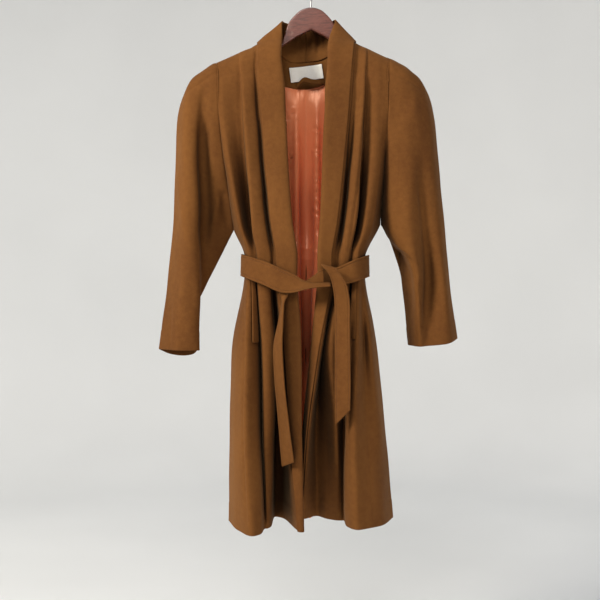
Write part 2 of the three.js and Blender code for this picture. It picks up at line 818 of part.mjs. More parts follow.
const LOOP = [
  { centre: [-30, 24, -226.5], reach: [0, 0, 4] },
  { centre: [-16, 16, -215], reach: [1, 0, 4] },
  { centre: [2, 14, -219.5], reach: [0, 0, 4] },
  { centre: [20, 17, -220], reach: [0, 0, 4] },
  { centre: [31, 23, -218.5], reach: [0, 0, 4] },
];
add('hanging_loop', strip(LOOP, 3, 2), coating());

// ---- belt: round the waist, a knot, and two ends of unequal fall ----

const BELT_ROUND = [
  { centre: [41, -112, -660], reach: [-5, 0, 16] },
  { centre: [66, -110, -652.5], reach: [-6, 0, 17] },
  { centre: [94, -104, -642], reach: [-5, 0, 20] },
  { centre: [115, -78, -634], reach: [-2, 0, 21] },
  { centre: [124, -30, -630], reach: [0, 0, BELT_HALF_WIDTH] },
  { centre: [116, 12, -630], reach: [0, 0, BELT_HALF_WIDTH] },
  { centre: [90, 34, -630], reach: [0, 0, BELT_HALF_WIDTH] },
  { centre: [40, 36, -631], reach: [0, 0, BELT_HALF_WIDTH] },
  { centre: [-11, 35, -632], reach: [0, 0, BELT_HALF_WIDTH] },
  { centre: [-62, 36, -631], reach: [0, 0, BELT_HALF_WIDTH] },
  { centre: [-112, 34, -629], reach: [0, 0, BELT_HALF_WIDTH] },
  { centre: [-141, 12, -628], reach: [0, 0, BELT_HALF_WIDTH] },
  { centre: [-150, -28, -628], reach: [0, 0, BELT_HALF_WIDTH] },
  { centre: [-146, -66, -631], reach: [2, 0, 21] },
  { centre: [-130, -95, -637], reach: [4, 0, 21] },
  { centre: [-97, -108, -649], reach: [6, 0, 21] },
  { centre: [-57, -117, -667], reach: [7, 0, 20] },
  { centre: [-38, -120, -671], reach: [4, 1, 17] },
  { centre: [-17, -125, -673.5], reach: [0, 4, 9] },
  { centre: [1, -128, -674.5], reach: [0, 7, 4] },
  { centre: [17, -128.5, -673], reach: [0, 7, 3] },
  { centre: [37, -127, -672], reach: [0, 7, 3] },
];

const BELT_KNOT = [
  { centre: [-15, -116.5, -671.5], reach: [1, 0, 4] },
  { centre: [2, -117.5, -664.5], reach: [3, 0, 10.5] },
  { centre: [14, -118, -658.5], reach: [3, 0, 15] },
  { centre: [24, -118, -657], reach: [0, 0, 15] },
];

const BELT_END_LEFT = [
  { centre: [38, -118.5, -646], reach: [8, 0, -3] },
  { centre: [34.5, -128, -635.5], reach: [14, 0, -3.3] },
  { centre: [39, -137, -641], reach: [12.5, 1, -2] },
  { centre: [49, -138, -655], reach: [11.5, -1, -1] },
  { centre: [56, -136, -671], reach: [13, -3, 0] },
  { centre: [62, -129, -704], reach: [14, -4, 0] },
  { centre: [63, -123, -760], reach: [14, -5, 0] },
  { centre: [63.5, -121, -850], reach: [14.5, -5, 0] },
  { centre: [64, -120, -945], reach: [14, -5, 15] },
];

const BELT_END_RIGHT = [
  { centre: [-57, -109.5, -668], reach: [10, 0, 0] },
  { centre: [-58, -110, -692], reach: [8, -2, 0] },
  { centre: [-60, -114, -712], reach: [2.2, -12, 0] },
  { centre: [-64.5, -115, -752], reach: [4.2, -13, 0] },
  { centre: [-69.8, -114, -799], reach: [8.4, -15, 0] },
  { centre: [-67, -113, -870], reach: [9.3, -17, 0] },
  { centre: [-60, -113.5, -942], reach: [9.8, -17, 0] },
  { centre: [-49.5, -114, -1043], reach: [11.5, -15, 7] },
];

add('belt_round', strip(BELT_ROUND, 2, BELT_CLOTH), coating());
add('belt_knot', strip(BELT_KNOT, 2, BELT_CLOTH), coating());
add('belt_end_left', strip(BELT_END_LEFT, 2, BELT_CLOTH), coating());
add('belt_end_right', strip(BELT_END_RIGHT, 2, BELT_CLOTH), coating());

// ---- pocket welts, standing on the fronts just below the belt ----

const WELT_CLOTH = 3;
const WELT_LIFT = WOOL / 2 + 4 * LAYER_GAP + WELT_CLOTH / 2;
const WELT_TOP_ROW = BODY_ROWS.indexOf(5);
const WELTS = [
  {
    name: 'pocket_welt_right', grid: grids.frontRight, outside: 1,
    rows: [0.15, 1, 2, 3], columns: [14.1, 14.6, 15.1],
  },
  {
    name: 'pocket_welt_left', grid: grids.frontLeft, outside: -1,
    rows: [0.15, 1, 2, 2.8], columns: [14.2, 14.8, 15.4],
  },
];

WELTS.forEach(({ name, grid, outside, rows, columns }) => {
  const under = patch(moved(grid, outside * WELT_LIFT), rows.map((row) => WELT_TOP_ROW + row), columns);
  add(name, wall(under, WELT_CLOTH), coating());
});

// ---- hanger ----

// Upper and lower edges of one arm, from the crown outwards.
const CROWN = -61.5;
const ARM_TOP = [
  [0, CROWN], [21.5, -67], [37, -80], [50, -97], [57.5, -121], [66, -141],
  [77, -152], [99, -160], [130, -172], [165, -187], [200, -204],
];
const ARM_TIP = [[210, -212], [212, -220], [204, -223]];
const ARM_UNDER = [
  [195, -219], [165, -204], [130, -190], [100, -177], [77, -166], [64, -147], [30, -125], [0, -110],
];

function hangerOutline() {
  const half = [...ARM_TOP, ...ARM_TIP, ...ARM_UNDER];
  const other = half.slice(1, -1).reverse().map(([x, z]) => [-x, z]);
  return new THREE.Shape([...half, ...other].map(([x, z]) => new THREE.Vector2(x, z)));
}

const hanger = add('hanger_body', new THREE.ExtrudeGeometry(hangerOutline(), {
  depth: HANGER_THICKNESS,
  bevelEnabled: false,
}), lacquer());
hanger.rotation.x = Math.PI / 2;
hanger.position.y = HANGER_THICKNESS / 2 + HANGER_SET_FORWARD;

const hookTop = HOOK_WIRE_RADIUS;
const hookCentre = hookTop - HOOK_BEND_RADIUS;
const hookPath = [point(0, 0, CROWN + SEAM_GAP), point(0, 0, -52), point(0, 0, -46), point(9, 0, -35)];
for (let degrees = -25; degrees <= 205; degrees += 23) {
  const angle = (degrees * Math.PI) / 180;
  const x = HOOK_BEND_RADIUS * Math.cos(angle);
  hookPath.push(point(x, 0, hookCentre + HOOK_BEND_RADIUS * Math.sin(angle)));
}
const wire = new THREE.Shape();
wire.absarc(0, 0, HOOK_WIRE_RADIUS, 0, 2 * Math.PI);
add('hanger_hook', new THREE.ExtrudeGeometry(wire, {
  steps: 48,
  curveSegments: 5,
  extrudePath: smooth(hookPath),
  bevelEnabled: false,
}), steel());

export default coat;
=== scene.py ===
import math

import bpy
import numpy as np
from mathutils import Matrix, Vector


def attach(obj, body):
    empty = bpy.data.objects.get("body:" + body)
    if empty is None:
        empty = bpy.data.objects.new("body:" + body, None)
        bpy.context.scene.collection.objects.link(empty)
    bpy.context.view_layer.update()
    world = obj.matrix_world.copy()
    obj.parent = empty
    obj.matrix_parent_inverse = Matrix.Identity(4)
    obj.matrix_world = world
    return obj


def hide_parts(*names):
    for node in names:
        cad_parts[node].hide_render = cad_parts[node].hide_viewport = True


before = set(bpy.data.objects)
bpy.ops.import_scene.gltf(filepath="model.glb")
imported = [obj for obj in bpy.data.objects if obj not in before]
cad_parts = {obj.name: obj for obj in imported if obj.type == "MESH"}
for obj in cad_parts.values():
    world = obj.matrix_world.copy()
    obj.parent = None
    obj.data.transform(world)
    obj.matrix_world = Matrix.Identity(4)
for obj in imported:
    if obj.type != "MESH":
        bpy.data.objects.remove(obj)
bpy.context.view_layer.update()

# A belted shawl-collar wrap coat, hanging open on a lacquered wooden hanger.
# Tables are in millimetres in the CAD frame: +X is the coat's left side, the coat faces -Y,
# +Z is up and the origin is the inside top of the hook. Meshes are made in metres.

MM = 0.001
WOOL = 2.2
COLLAR_CLOTH = 3.4
SATIN = 0.9
BELT_CLOTH = 3.6
LAYER_GAP = 0.7

CENTRE_X = -11
YOKE = -215
CHEST = -300
UNDERARM = -540
WAIST = -632
HIP = -800
KNEE = -990
HEM = -1183
LINING_TOP = -230
LINING_HEM = -1160
ELBOW = -680
CINCH_HALF_HEIGHT = 24
SIDE_CORNERS = [3]
ARMHOLE_CORNERS = [3, 4]

SHOULDER = {
    "right": dict(neck_x=-99, neck_z=-137, fall=0.454),
    "left": dict(neck_x=77, neck_z=-132, fall=0.4725),
}


def fold(name, x, y, roll=True, corners=(), **heights):
    """One fold line: its places at the table's heights."""
    return dict(name=name, x=x, y=y, roll=roll, corners=corners, **heights)


FRONT_RIGHT = [
    fold("edge", x=[-99, -65, -60, -45, -35, -26, -25, -20], y=[-3, -52, -62, -92, -98, -98, -104, -112]),
    fold("band", x=[-114, -113, -105, -83, -72, -56, -43, -26], y=[-3, -48, -58, -86, -92, -92, -98, -108]),
    fold("gully", x=[-119, -117, -112, -91, -79, -68, -62, -62], y=[-3, -42, -46, -62, -84, -25, -5, -2]),
    fold("gully far side",
         x=[-122, -119, -115, -95, -83, -77, -78, -79], y=[-3, -42, -46, -66, -84, -38, -5, 10]),
    fold("flat", x=[-130, -124, -120, -101, -89, -81, -82, -87], y=[-3, -46, -54, -84, -91, -88, -85, -75]),
    fold("pleat",
         x=[-154, -150, -146, -124, -112, -101, -98, -92], y=[-3, -47, -58, -87, -91, -92, -95, -88]),
    fold("trough",
         x=[-157, -153, -151, -130, -116, -107, -105, -98], y=[-3, -44, -50, -48, -80, -42, -50, -92]),
    fold("trough far side",
         x=[-165, -162, -162, -136, -121, -115, -113, -106], y=[-3, -44, -50, -51, -80, -84, -106, -136]),
    fold("ridge",
         x=[-184, -185, -187, -151, -131, -135, -137, -122], y=[-3, -44, -54, -76, -82, -103, -124, -148]),
    fold("fall",
         x=[-198, -195, -194, -161, -138, -154, -159, -153], y=[-3, -43, -52, -52, -62, -74, -88, -102]),
    fold("side", underarm=-550, corners=SIDE_CORNERS,
         x=[-207, -201, -198, -169, -144, -171, -177, -179], y=[-3, -42, -50, -8, -22, -20, -20, -22]),
]
FRONT_LEFT = [
    fold("edge", x=[77, 38, 33, 22, 17, 3, -15, -24], y=[-3, -52, -62, -88, -94, -82, -60, 5]),
    fold("band", x=[96, 88, 81, 55, 43, 19, -7, -18], y=[-3, -48, -58, -84, -90, -98, -90, -8]),
    fold("gully", x=[101, 93, 85, 64, 54, 26, 11, 14], y=[-3, -43, -52, -54, -82, -52, -10, 16]),
    fold("gully far side", x=[104, 97, 91, 69, 59, 31, 33, 35], y=[-3, -44, -51, -58, -86, -80, -26, -8]),
    fold("pleat", x=[112, 107, 99, 75, 64, 44, 54, 57], y=[-3, -46, -55, -83, -91, -94, -58, -22]),
    fold("pleat edge", x=[120, 115, 111, 93, 78, 62, 63, 65], y=[-3, -48, -59, -87, -90, -78, -50, -24]),
    fold("trough", x=[124, 119, 116, 97, 84, 72, 70, 71], y=[-3, -44, -46, -48, -80, -60, -42, -24]),
    fold("sharp edge", x=[130, 126, 122, 102, 88, 83, 76, 77], y=[-3, -44, -47, -54, -84, -92, -88, -74]),
    fold("ridge", x=[147, 144, 139, 114, 97, 95, 88, 95], y=[-3, -45, -55, -77, -88, -100, -106, -101]),
    fold("dip", x=[157, 153, 151, 128, 103, 113, 115, 116], y=[-3, -44, -53, -70, -80, -58, -84, -90]),
    fold("fall", x=[164, 160, 159, 136, 111, 124, 141, 150], y=[-3, -43, -51, -46, -62, -66, -70, -64]),
    fold("side", corners=SIDE_CORNERS,
         x=[168, 165, 164, 152, 117, 143, 163, 181], y=[-3, -42, -50, -8, -22, -15, -5, 6]),
]
BACK = [
    fold("right side", top=-186, underarm=-550, corners=SIDE_CORNERS,
         x=[-207, -199, -190, -169, -144, -171, -177, -179], y=[-3, 20, 24, -8, -22, -20, -20, -22]),
    fold("right fall", top=-175,
         x=[-182, -178, -172, -150, -130, -150, -160, -165], y=[-3, 26, 34, 28, 14, 26, 34, 40]),
    fold("right fold", top=-160,
         x=[-150, -150, -148, -118, -100, -118, -125, -130], y=[-3, 28, 38, 40, 22, 46, 52, 60]),
    fold("right neck", top=-137,
         x=[-99, -98, -96, -70, -66, -74, -78, -80], y=[-2, 30, 40, 34, 20, 34, 38, 44]),
    fold("right of centre", top=-168, roll=False,
         x=[-55, -56, -55, -42, -38, -42, -44, -46], y=[26, 32, 41, 42, 24, 48, 54, 60]),
    fold("centre", top=-178, roll=False,
         x=[-11, -11, -11, -11, -11, -12, -12, -12], y=[33, 35, 42, 38, 22, 38, 42, 46]),
    fold("left of centre", top=-166, roll=False,
         x=[38, 36, 32, 20, 16, 18, 20, 22], y=[29, 32, 41, 42, 24, 48, 56, 62]),
    fold("left neck", x=[77, 76, 74, 50, 44, 52, 58, 62], y=[1, 30, 40, 34, 20, 34, 40, 46], top=-132),
    fold("left fold", x=[125, 126, 122, 96, 78, 92, 104, 112], y=[-3, 28, 38, 40, 22, 46, 52, 60], top=-155),
    fold("left fall", top=-166,
         x=[150, 148, 145, 122, 104, 124, 140, 152], y=[-3, 26, 34, 28, 14, 28, 36, 44]),
    fold("left side", top=-175, corners=SIDE_CORNERS,
         x=[168, 163, 157, 152, 117, 143, 163, 181], y=[-3, 20, 24, -8, -22, -15, -5, 6]),
]
OUTER_RIGHT = fold("outer", top=-238, cap=-268, cuff=-811, roll=False,
                   x=[-270, -284, -292, -303, -317, -334], y=[-3, -6, -6, -6, -6, -8])
SLEEVE_RIGHT_FRONT = [
    fold("armhole", top=-186, cap=YOKE, cuff=-815, underarm=-550, elbow=-712, corners=ARMHOLE_CORNERS,
         x=[-207, -201, -198, -169, -252, -252], y=[-3, -42, -50, -8, 12, 10]),
    fold("inner", top=-189, cap=-220, cuff=-814, elbow=-712,
         x=[-215, -214, -215, -209, -250, -251], y=[-3, -42, -50, -12, -2, -4]),
    fold("trough", top=-199, cap=-232, cuff=-813, elbow=-700,
         x=[-231, -231, -234, -236, -244, -246], y=[-3, -42, -44, -14, -24, -26]),
    fold("lip", top=-207, cap=-242, cuff=-812,
         x=[-242, -243, -247, -240, -241, -243], y=[-3, -42, -50, -58, -58, -48]),
    fold("crest", top=-219, cap=-254, cuff=-812,
         x=[-257, -266, -270, -266, -271, -281], y=[-3, -36, -46, -64, -62, -54]),
    OUTER_RIGHT,
]
SLEEVE_RIGHT_BACK = [
    OUTER_RIGHT,
    fold("outer back", top=-213, cap=-250, cuff=-824,
         x=[-250, -262, -270, -285, -300, -312], y=[-3, 14, 22, 30, 28, 24]),
    fold("middle back", top=-197, cap=-232, cuff=-828,
         x=[-228, -235, -238, -245, -272, -284], y=[-3, 20, 30, 36, 36, 32]),
    fold("inner back", top=-189, cap=-220, cuff=-824, elbow=-712,
         x=[-214, -212, -208, -204, -263, -262], y=[-3, 20, 27, 20, 28, 26]),
    fold("armhole", top=-186, cap=YOKE, cuff=-815, underarm=-550, elbow=-712, corners=ARMHOLE_CORNERS,
         x=[-207, -199, -190, -169, -252, -252], y=[-3, 20, 24, -8, 12, 10]),
]
OUTER_LEFT = fold("outer", top=-233, cap=-266, cuff=-788, roll=False,
                  x=[244, 262, 269, 293, 306, 321], y=[-3, -6, -6, -6, -6, -8])
SLEEVE_LEFT_FRONT = [
    fold("armhole", top=-175, cap=YOKE, cuff=-803, elbow=-592, corners=ARMHOLE_CORNERS,
         x=[168, 165, 164, 152, 193, 215], y=[-3, -42, -50, -8, 4, 10]),
    fold("inner", top=-178, cap=-218, cuff=-803, elbow=-640,
         x=[176, 176, 180, 170, 212, 218], y=[-3, -43, -52, -44, -30, -14]),
    fold("broad", top=-188, cap=-228, cuff=-804,
         x=[195, 199, 207, 208, 227, 233], y=[-3, -43, -54, -64, -57, -46]),
    fold("trough", top=-201, cap=-240, cuff=-803,
         x=[215, 223, 231, 245, 256, 247], y=[-3, -38, -49, -42, -26, -42]),
    fold("crest", top=-215, cap=-252, cuff=-798,
         x=[231, 242, 252, 272, 286, 293], y=[-3, -28, -37, -38, -40, -44]),
    OUTER_LEFT,
]
SLEEVE_LEFT_BACK = [
    OUTER_LEFT,
    fold("outer back", top=-212, cap=-248, cuff=-796,
         x=[228, 240, 248, 275, 290, 302], y=[-3, 14, 22, 30, 30, 26]),
    fold("middle back", top=-190, cap=-230, cuff=-806,
         x=[200, 206, 212, 228, 250, 266], y=[-3, 20, 30, 36, 38, 34]),
    fold("inner back", top=-178, cap=-218, cuff=-806,
         x=[175, 174, 176, 182, 214, 234], y=[-3, 20, 27, 22, 30, 26]),
    fold("armhole", top=-175, cap=YOKE, cuff=-803, elbow=-592, corners=ARMHOLE_CORNERS,
         x=[168, 163, 157, 152, 193, 215], y=[-3, 20, 24, -8, 4, 10]),
]
LINING_BACK = [
    fold("right side", x=[-180, -180, -160, -134, -161, -167, -169], y=[10, 12, 0, -13, -10, -10, -12]),
    fold("right fall", x=[-140, -140, -118, -98, -112, -118, -122], y=[22, 28, 28, 12, 28, 34, 40]),
    fold("right hollow", x=[-76, -76, -60, -54, -60, -64, -66], y=[24, 32, 28, 12, 26, 30, 34]),
    fold("right ridge", x=[-32, -32, -32, -32, -30, -28, -28], y=[26, 26, 14, 2, 16, 22, 28]),
    fold("centre", x=[-11, -11, -11, -11, -11, -11, -12], y=[28, 32, 28, 13, 29, 34, 38]),
    fold("left ridge", x=[12, 12, 13, 13, 6, 6, 6], y=[26, 25, 12, 0, 14, 24, 30]),
    fold("left hollow", x=[54, 52, 36, 32, 36, 42, 46], y=[24, 32, 27, 12, 26, 31, 36]),
    fold("left fall", x=[118, 116, 94, 78, 90, 100, 108], y=[22, 28, 28, 12, 28, 36, 44]),
    fold("left side", x=[150, 148, 134, 107, 132, 150, 165], y=[10, 12, 0, -13, -4, 4, 14]),
]
LINING_FRONT_RIGHT = [
    fold("gully", x=[-116, -110, -89, -77, -66, -60, -60], y=[-34, -36, -53, -76, -16, 4, 7]),
    fold("gully far side", x=[-124, -118, -96, -84, -78, -80, -81], y=[-32, -34, -55, -75, -20, 5, 20]),
    fold("trough", x=[-150, -150, -130, -116, -106, -104, -96], y=[-30, -34, -40, -71, -34, -42, -52]),
    fold("ridge", x=[-176, -174, -146, -127, -128, -126, -117], y=[-28, -29, -38, -58, -58, -80, -100]),
    fold("side", x=[-188, -186, -162, -136, -163, -169, -171], y=[-8, -8, -8, -21, -15, -16, -18]),
]
LINING_FRONT_LEFT = [
    fold("gully", x=[92, 87, 63, 53, 26, 8, 10], y=[-34, -32, -36, -75, -30, 0, 25]),
    fold("pleat", x=[114, 107, 84, 69, 50, 50, 52], y=[-32, -34, -50, -75, -46, -16, 1]),
    fold("trough", x=[124, 126, 101, 84, 76, 76, 78], y=[-30, -30, -42, -72, -51, -29, -15]),
    fold("ridge", x=[146, 143, 114, 98, 98, 98, 102], y=[-30, -34, -46, -68, -38, -62, -76]),
    fold("fall", x=[154, 151, 127, 106, 120, 134, 144], y=[-28, -29, -34, -52, -36, -54, -50]),
    fold("side", x=[157, 153, 136, 111, 135, 155, 172], y=[-8, -8, -8, -21, -10, -2, 9]),
]

# ---- curves and grids ----

def spline(points, places):
    """Points (..., n, 3) joined by a centripetal Catmull-Rom curve, at places counted in points."""
    p = np.asarray(points, float)
    last = p.shape[-2] - 1
    places = np.clip(np.asarray(places, float), 0, last)
    start = np.minimum(places.astype(int), last - 1)
    w = (places - start)[:, None]
    ends = 2 * p[..., :1, :] - p[..., 1:2, :], 2 * p[..., -1:, :] - p[..., -2:-1, :]
    padded = np.concatenate([ends[0], p, ends[1]], axis=-2)
    a, b, c, d = (padded[..., start + k, :] for k in range(4))

    def reach(u, v):
        return np.maximum(np.sum((u - v) ** 2, axis=-1, keepdims=True) ** 0.25, 1e-4)

    ab, bc, cd = reach(a, b), reach(b, c), reach(c, d)
    leave = ((b - a) / ab - (c - a) / (ab + bc) + (c - b) / bc) * bc
    arrive = ((c - b) / bc - (d - b) / (bc + cd) + (d - c) / cd) * bc
    return ((2 * w**3 - 3 * w**2 + 1) * b + (w**3 - 2 * w**2 + w) * leave
            + (3 * w**2 - 2 * w**3) * c + (w**3 - w**2) * arrive)


def line_points(line, heights):
    """A fold line's points. The waist counts twice, above and below the belt."""
    points = []
    for x, y, z in zip(line["x"], line["y"], heights):
        for lift in ((CINCH_HALF_HEIGHT, -CINCH_HALF_HEIGHT) if z == WAIST else (0,)):
            points.append((x, y, z + lift))
    return np.array(points, float)


def on_line(line, points, levels):
    """A fold line at levels. Over the shoulder it is a quarter of an ellipse."""
    turns_at = [0, *line["corners"], len(points) - 1]
    out = np.zeros((len(levels), 3))
    for start, end in zip(turns_at, turns_at[1:]):
        here = (levels >= start) & (levels <= end)
        out[here] = spline(points[start:end + 1], levels[here] - start)
    if line["roll"]:
        over = levels < 1
        turn = levels[over] * math.pi / 2
        share = np.stack([levels[over], np.sin(turn), 1 - np.cos(turn)], axis=1)
        out[over] = points[0] + (points[1] - points[0]) * share
    return out


def drape(table, heights_of, levels, columns):
    """A grid of points over a fold table, rows by level and columns by place between fold lines."""
    levels = np.asarray(levels, float)
    lines = [on_line(line, line_points(line, heights_of(line)), levels) for line in table]
    return spline(np.stack(lines, axis=1), columns)


def steps(counts, first=0):
    """Evenly spaced steps through each span between whole numbers."""
    places = [float(first)]
    for span, count in enumerate(counts):
        places += [first + span + (k + 1) / count for k in range(count)]
    return np.array(places)


def unit(v):
    return v / np.maximum(np.linalg.norm(v, axis=-1, keepdims=True), 1e-9)


def normals(grid):
    """Unit normals, across x down, from the neighbours on both sides."""
    across = np.concatenate([grid[:, 1:2] - grid[:, :1], grid[:, 2:] - grid[:, :-2],
                             grid[:, -1:] - grid[:, -2:-1]], axis=1)
    down = np.concatenate([grid[1:2] - grid[:1], grid[2:] - grid[:-2], grid[-1:] - grid[-2:-1]], axis=0)
    return unit(np.cross(across, down))


def lengths(grid, axis):
    """Length along each row (axis 1) or column (axis 0) from its start."""
    steps_between = np.linalg.norm(np.diff(grid, axis=axis), axis=-1)
    start = np.zeros_like(np.take(steps_between, [0], axis=axis))
    return np.concatenate([start, np.cumsum(steps_between, axis=axis)], axis=axis)


def trimmed(grid, gap):
    """The grid with its four edges pulled back by a gap."""
    out = grid.copy()
    out[:, 0] += gap * unit(grid[:, 1] - grid[:, 0])
    out[:, -1] += gap * unit(grid[:, -2] - grid[:, -1])
    out[0] += gap * unit(grid[1] - grid[0])
    out[-1] += gap * unit(grid[-2] - grid[-1])
    return out


# ---- relief: creases, pleat edges, seams and the unevenness of hung cloth ----

def near_path(x, z, path):
    """Signed distance from each place to a path, and how far along the path it lies, from 0 to 1."""
    corners = np.c_[np.array(path, float), np.zeros(len(path))]
    bends = spline(corners, np.linspace(0, len(path) - 1, 8 * len(path)))
    starts, ends = bends[:-1, :2], bends[1:, :2]
    pieces = np.linalg.norm(ends - starts, axis=1)
    travelled = np.concatenate([[0], np.cumsum(pieces)])
    best, side, place = np.full(x.shape, 1e9), np.zeros(x.shape), np.zeros(x.shape)
    for a, b, piece, before in zip(starts, ends, pieces, travelled):
        ux, uz = (b - a) / max(piece, 1e-6)
        t = np.clip((x - a[0]) * ux + (z - a[1]) * uz, 0, piece)
        dx, dz = x - a[0] - t * ux, z - a[1] - t * uz
        distance = np.hypot(dx, dz)
        closer = distance < best
        best = np.where(closer, distance, best)
        side = np.where(closer, np.sign(ux * dz - uz * dx), side)
        place = np.where(closer, (before + t) / travelled[-1], place)
    return best * side, place


def crease(x, z, kind, width, height, path, fade=0.2):
    """Height of one crease or ridge. 'soft' is a rounded line, 'step' a pleat edge that lies higher on
    one side, and 'pull' a trough with a raised lip beside it."""
    d, place = near_path(x, z, path)
    if kind == "step":
        profile = np.tanh(d / 1.8) * np.exp(-np.abs(d) / width)
    elif kind == "pull":
        profile = np.exp(-(d / width) ** 2) - 0.7 * np.exp(-((d - 1.8 * width) / width) ** 2)
    else:
        profile = np.exp(-(d / width) ** 2)
    ends = np.clip(np.minimum(place, 1 - place) / fade, 0, 1)
    beyond = (place <= 0) | (place >= 1)
    soften = np.where(beyond, 0, ends * ends * (3 - 2 * ends))
    return height * profile * soften


def uneven(x, z, seed, across=(26, 70), down=(110, 320), count=14):
    """Smooth unevenness, longer down the cloth than across it."""
    rng = np.random.default_rng(seed)
    total = np.zeros_like(x)
    for _ in range(count):
        kx = 2 * math.pi / rng.uniform(*across)
        kz = 2 * math.pi / rng.uniform(*down) * rng.choice([-1, 1])
        total += rng.uniform(0.4, 1) * np.sin(kx * x + kz * z + rng.uniform(0, 2 * math.pi))
    return total / math.sqrt(count)


SEAM_TURN = dict(depth=1.1, width=1.9)
HEM_ALLOWANCE = 42


def seam_turn(distance):
    """Cloth turns in where it is sewn to its neighbour."""
    return -SEAM_TURN["depth"] * np.exp(-(distance / SEAM_TURN["width"]) ** 2)


def hem_mark(distance):
    """The turned-up hem lies a little proud, with the mark of its stitching at the top."""
    proud = 0.5 / (1 + np.exp((distance - HEM_ALLOWANCE) / 1.5))
    return proud - 0.45 * np.exp(-((distance - HEM_ALLOWANCE) / 2.2) ** 2)


def relieved(grid, outside, seams, creases=(), rough=0.5, seed=1, hem=False):
    """The grid moved along its normals by its seams, hem, creases and unevenness."""
    x, z = grid[..., 0], grid[..., 2]
    height = rough * uneven(x, z, seed)
    along_row, along_column = lengths(grid, 1), lengths(grid, 0)
    edges = {
        "first": along_row,
        "last": along_row[:, -1:] - along_row,
        "top": along_column,
        "bottom": along_column[-1:] - along_column,
    }
    for edge in seams:
        height = height + seam_turn(edges[edge])
    if hem:
        height = height + hem_mark(edges["bottom"])
    for row in creases:
        height = height + crease(x, z, *row)
    return grid + outside * height[..., None] * normals(grid)


# ---- meshes ----

def placed(name, data):
    """An object in the scene."""
    obj = bpy.data.objects.new(name, data)
    bpy.context.scene.collection.objects.link(obj)
    return obj


def make_mesh(name, points, faces):
    """A smooth-shaded mesh object from points in millimetres and faces of four corners."""
    mesh = bpy.data.meshes.new(name)
    points = np.asarray(points, float).reshape(-1, 3) * MM
    faces = np.asarray(faces, np.int32)
    mesh.vertices.add(len(points))
    mesh.vertices.foreach_set("co", points.ravel())
    mesh.loops.add(faces.size)
    mesh.loops.foreach_set("vertex_index", faces.ravel())
    mesh.polygons.add(len(faces))
    mesh.polygons.foreach_set("loop_start", np.arange(len(faces), dtype=np.int32) * faces.shape[1])
    mesh.polygons.foreach_set("use_smooth", np.ones(len(faces), bool))
    mesh.update(calc_edges=True)
    mesh.validate()
    return placed(name, mesh)


def wall_mesh(grid, thickness):
    """Points and faces of a closed wall about a grid. Its rims are rounded."""
    rows, columns = grid.shape[:2]
    n = normals(grid)
    half = np.broadcast_to(np.asarray(thickness, float) / 2, (rows, columns))[..., None]
    outwards = np.zeros_like(grid)
    outwards[0] += unit(grid[0] - grid[1])
    outwards[-1] += unit(grid[-1] - grid[-2])
    outwards[:, 0] += unit(grid[:, 0] - grid[:, 1])
    outwards[:, -1] += unit(grid[:, -1] - grid[:, -2])
    outwards = unit(outwards)
    ring_i = [0] * columns + list(range(1, rows)) + [rows - 1] * (columns - 1) + list(range(rows - 2, 0, -1))
    ring_j = (list(range(columns)) + [columns - 1] * (rows - 1) + list(range(columns - 2, -1, -1))
              + [0] * (rows - 2))
    ring = np.array(ring_i) * columns + np.array(ring_j)
    middle, up, out, reach = (
        np.reshape(a, (-1, a.shape[-1]))[ring] for a in (grid, n, outwards, half))
    angles = np.radians([50, 0, -50])
    loops = [middle + reach * (math.sin(a) * up + math.cos(a) * out) for a in angles]
    points = np.concatenate([(grid + half * n).reshape(-1, 3), (grid - half * n).reshape(-1, 3), *loops])
    at = np.arange(rows * columns).reshape(rows, columns)
    corners = [at[:-1, :-1], at[:-1, 1:], at[1:, 1:], at[1:, :-1]]
    front = np.stack([c.ravel() for c in corners], axis=1)
    faces = [front, front[:, ::-1] + rows * columns]
    levels = [ring] + [2 * rows * columns + k * len(ring) + np.arange(len(ring)) for k in range(len(loops))]
    levels.append(ring + rows * columns)
    for upper, lower in zip(levels, levels[1:]):
        faces.append(np.stack([np.roll(upper, -1), upper, lower, np.roll(lower, -1)], axis=1))
    return points, np.concatenate(faces)


def ring_faces(rows, sides):
    """Faces between closed rings of points."""
    index = np.arange(rows * sides).reshape(rows, sides)
    beside = np.roll(index, -1, axis=1)
    return np.stack([index[:-1], beside[:-1], beside[1:], index[1:]], axis=-1).reshape(-1, 4)


def joined(name, parts):
    """One object from several (points, faces)."""
    points, faces, count = [], [], 0
    for part_points, part_faces in parts:
        points.append(part_points)
        faces.append(part_faces + count)
        count += len(part_points)
    return make_mesh(name, np.concatenate(points), np.concatenate(faces))


def stitches(path, up, pitch=3.6, length=2.5, radius=0.34, rings=5, sides=5):
    """Points and faces of a row of stitches along a path on cloth, with the cloth's normals there."""
    run = lengths(path[None], 1)[0]
    places = np.arange(pitch, run[-1] - pitch, pitch)

    def at(values, where):
        return np.stack([np.interp(where, run, values[:, k]) for k in range(3)], axis=-1)

    share = np.linspace(-1, 1, rings)
    points = []
    for place in places:
        centre = at(path, place + share * length / 2)
        lift = at(up, np.full(rings, place))
        tangent = unit(centre[-1] - centre[0])
        sideways = unit(np.cross(lift, tangent[None]))
        fat = radius * np.sqrt(np.maximum(1 - 0.85 * share**2, 0))[:, None]
        rise = (radius * (0.55 - 0.9 * share**2))[:, None]
        for turn in np.arange(sides) * 2 * math.pi / sides:
            points.append(centre + lift * (rise + fat * math.cos(turn)) + sideways * fat * math.sin(turn))
    points = np.array(points).reshape(len(places), sides, rings, 3)
    index = np.arange(len(places) * sides * rings).reshape(len(places), sides, rings)
    around = np.roll(index, -1, axis=1)
    faces = np.stack([index[..., :-1], index[..., 1:], around[..., 1:], around[..., :-1]], axis=-1)
    return points.reshape(-1, 3), faces.reshape(-1, 4)


# ---- materials ----

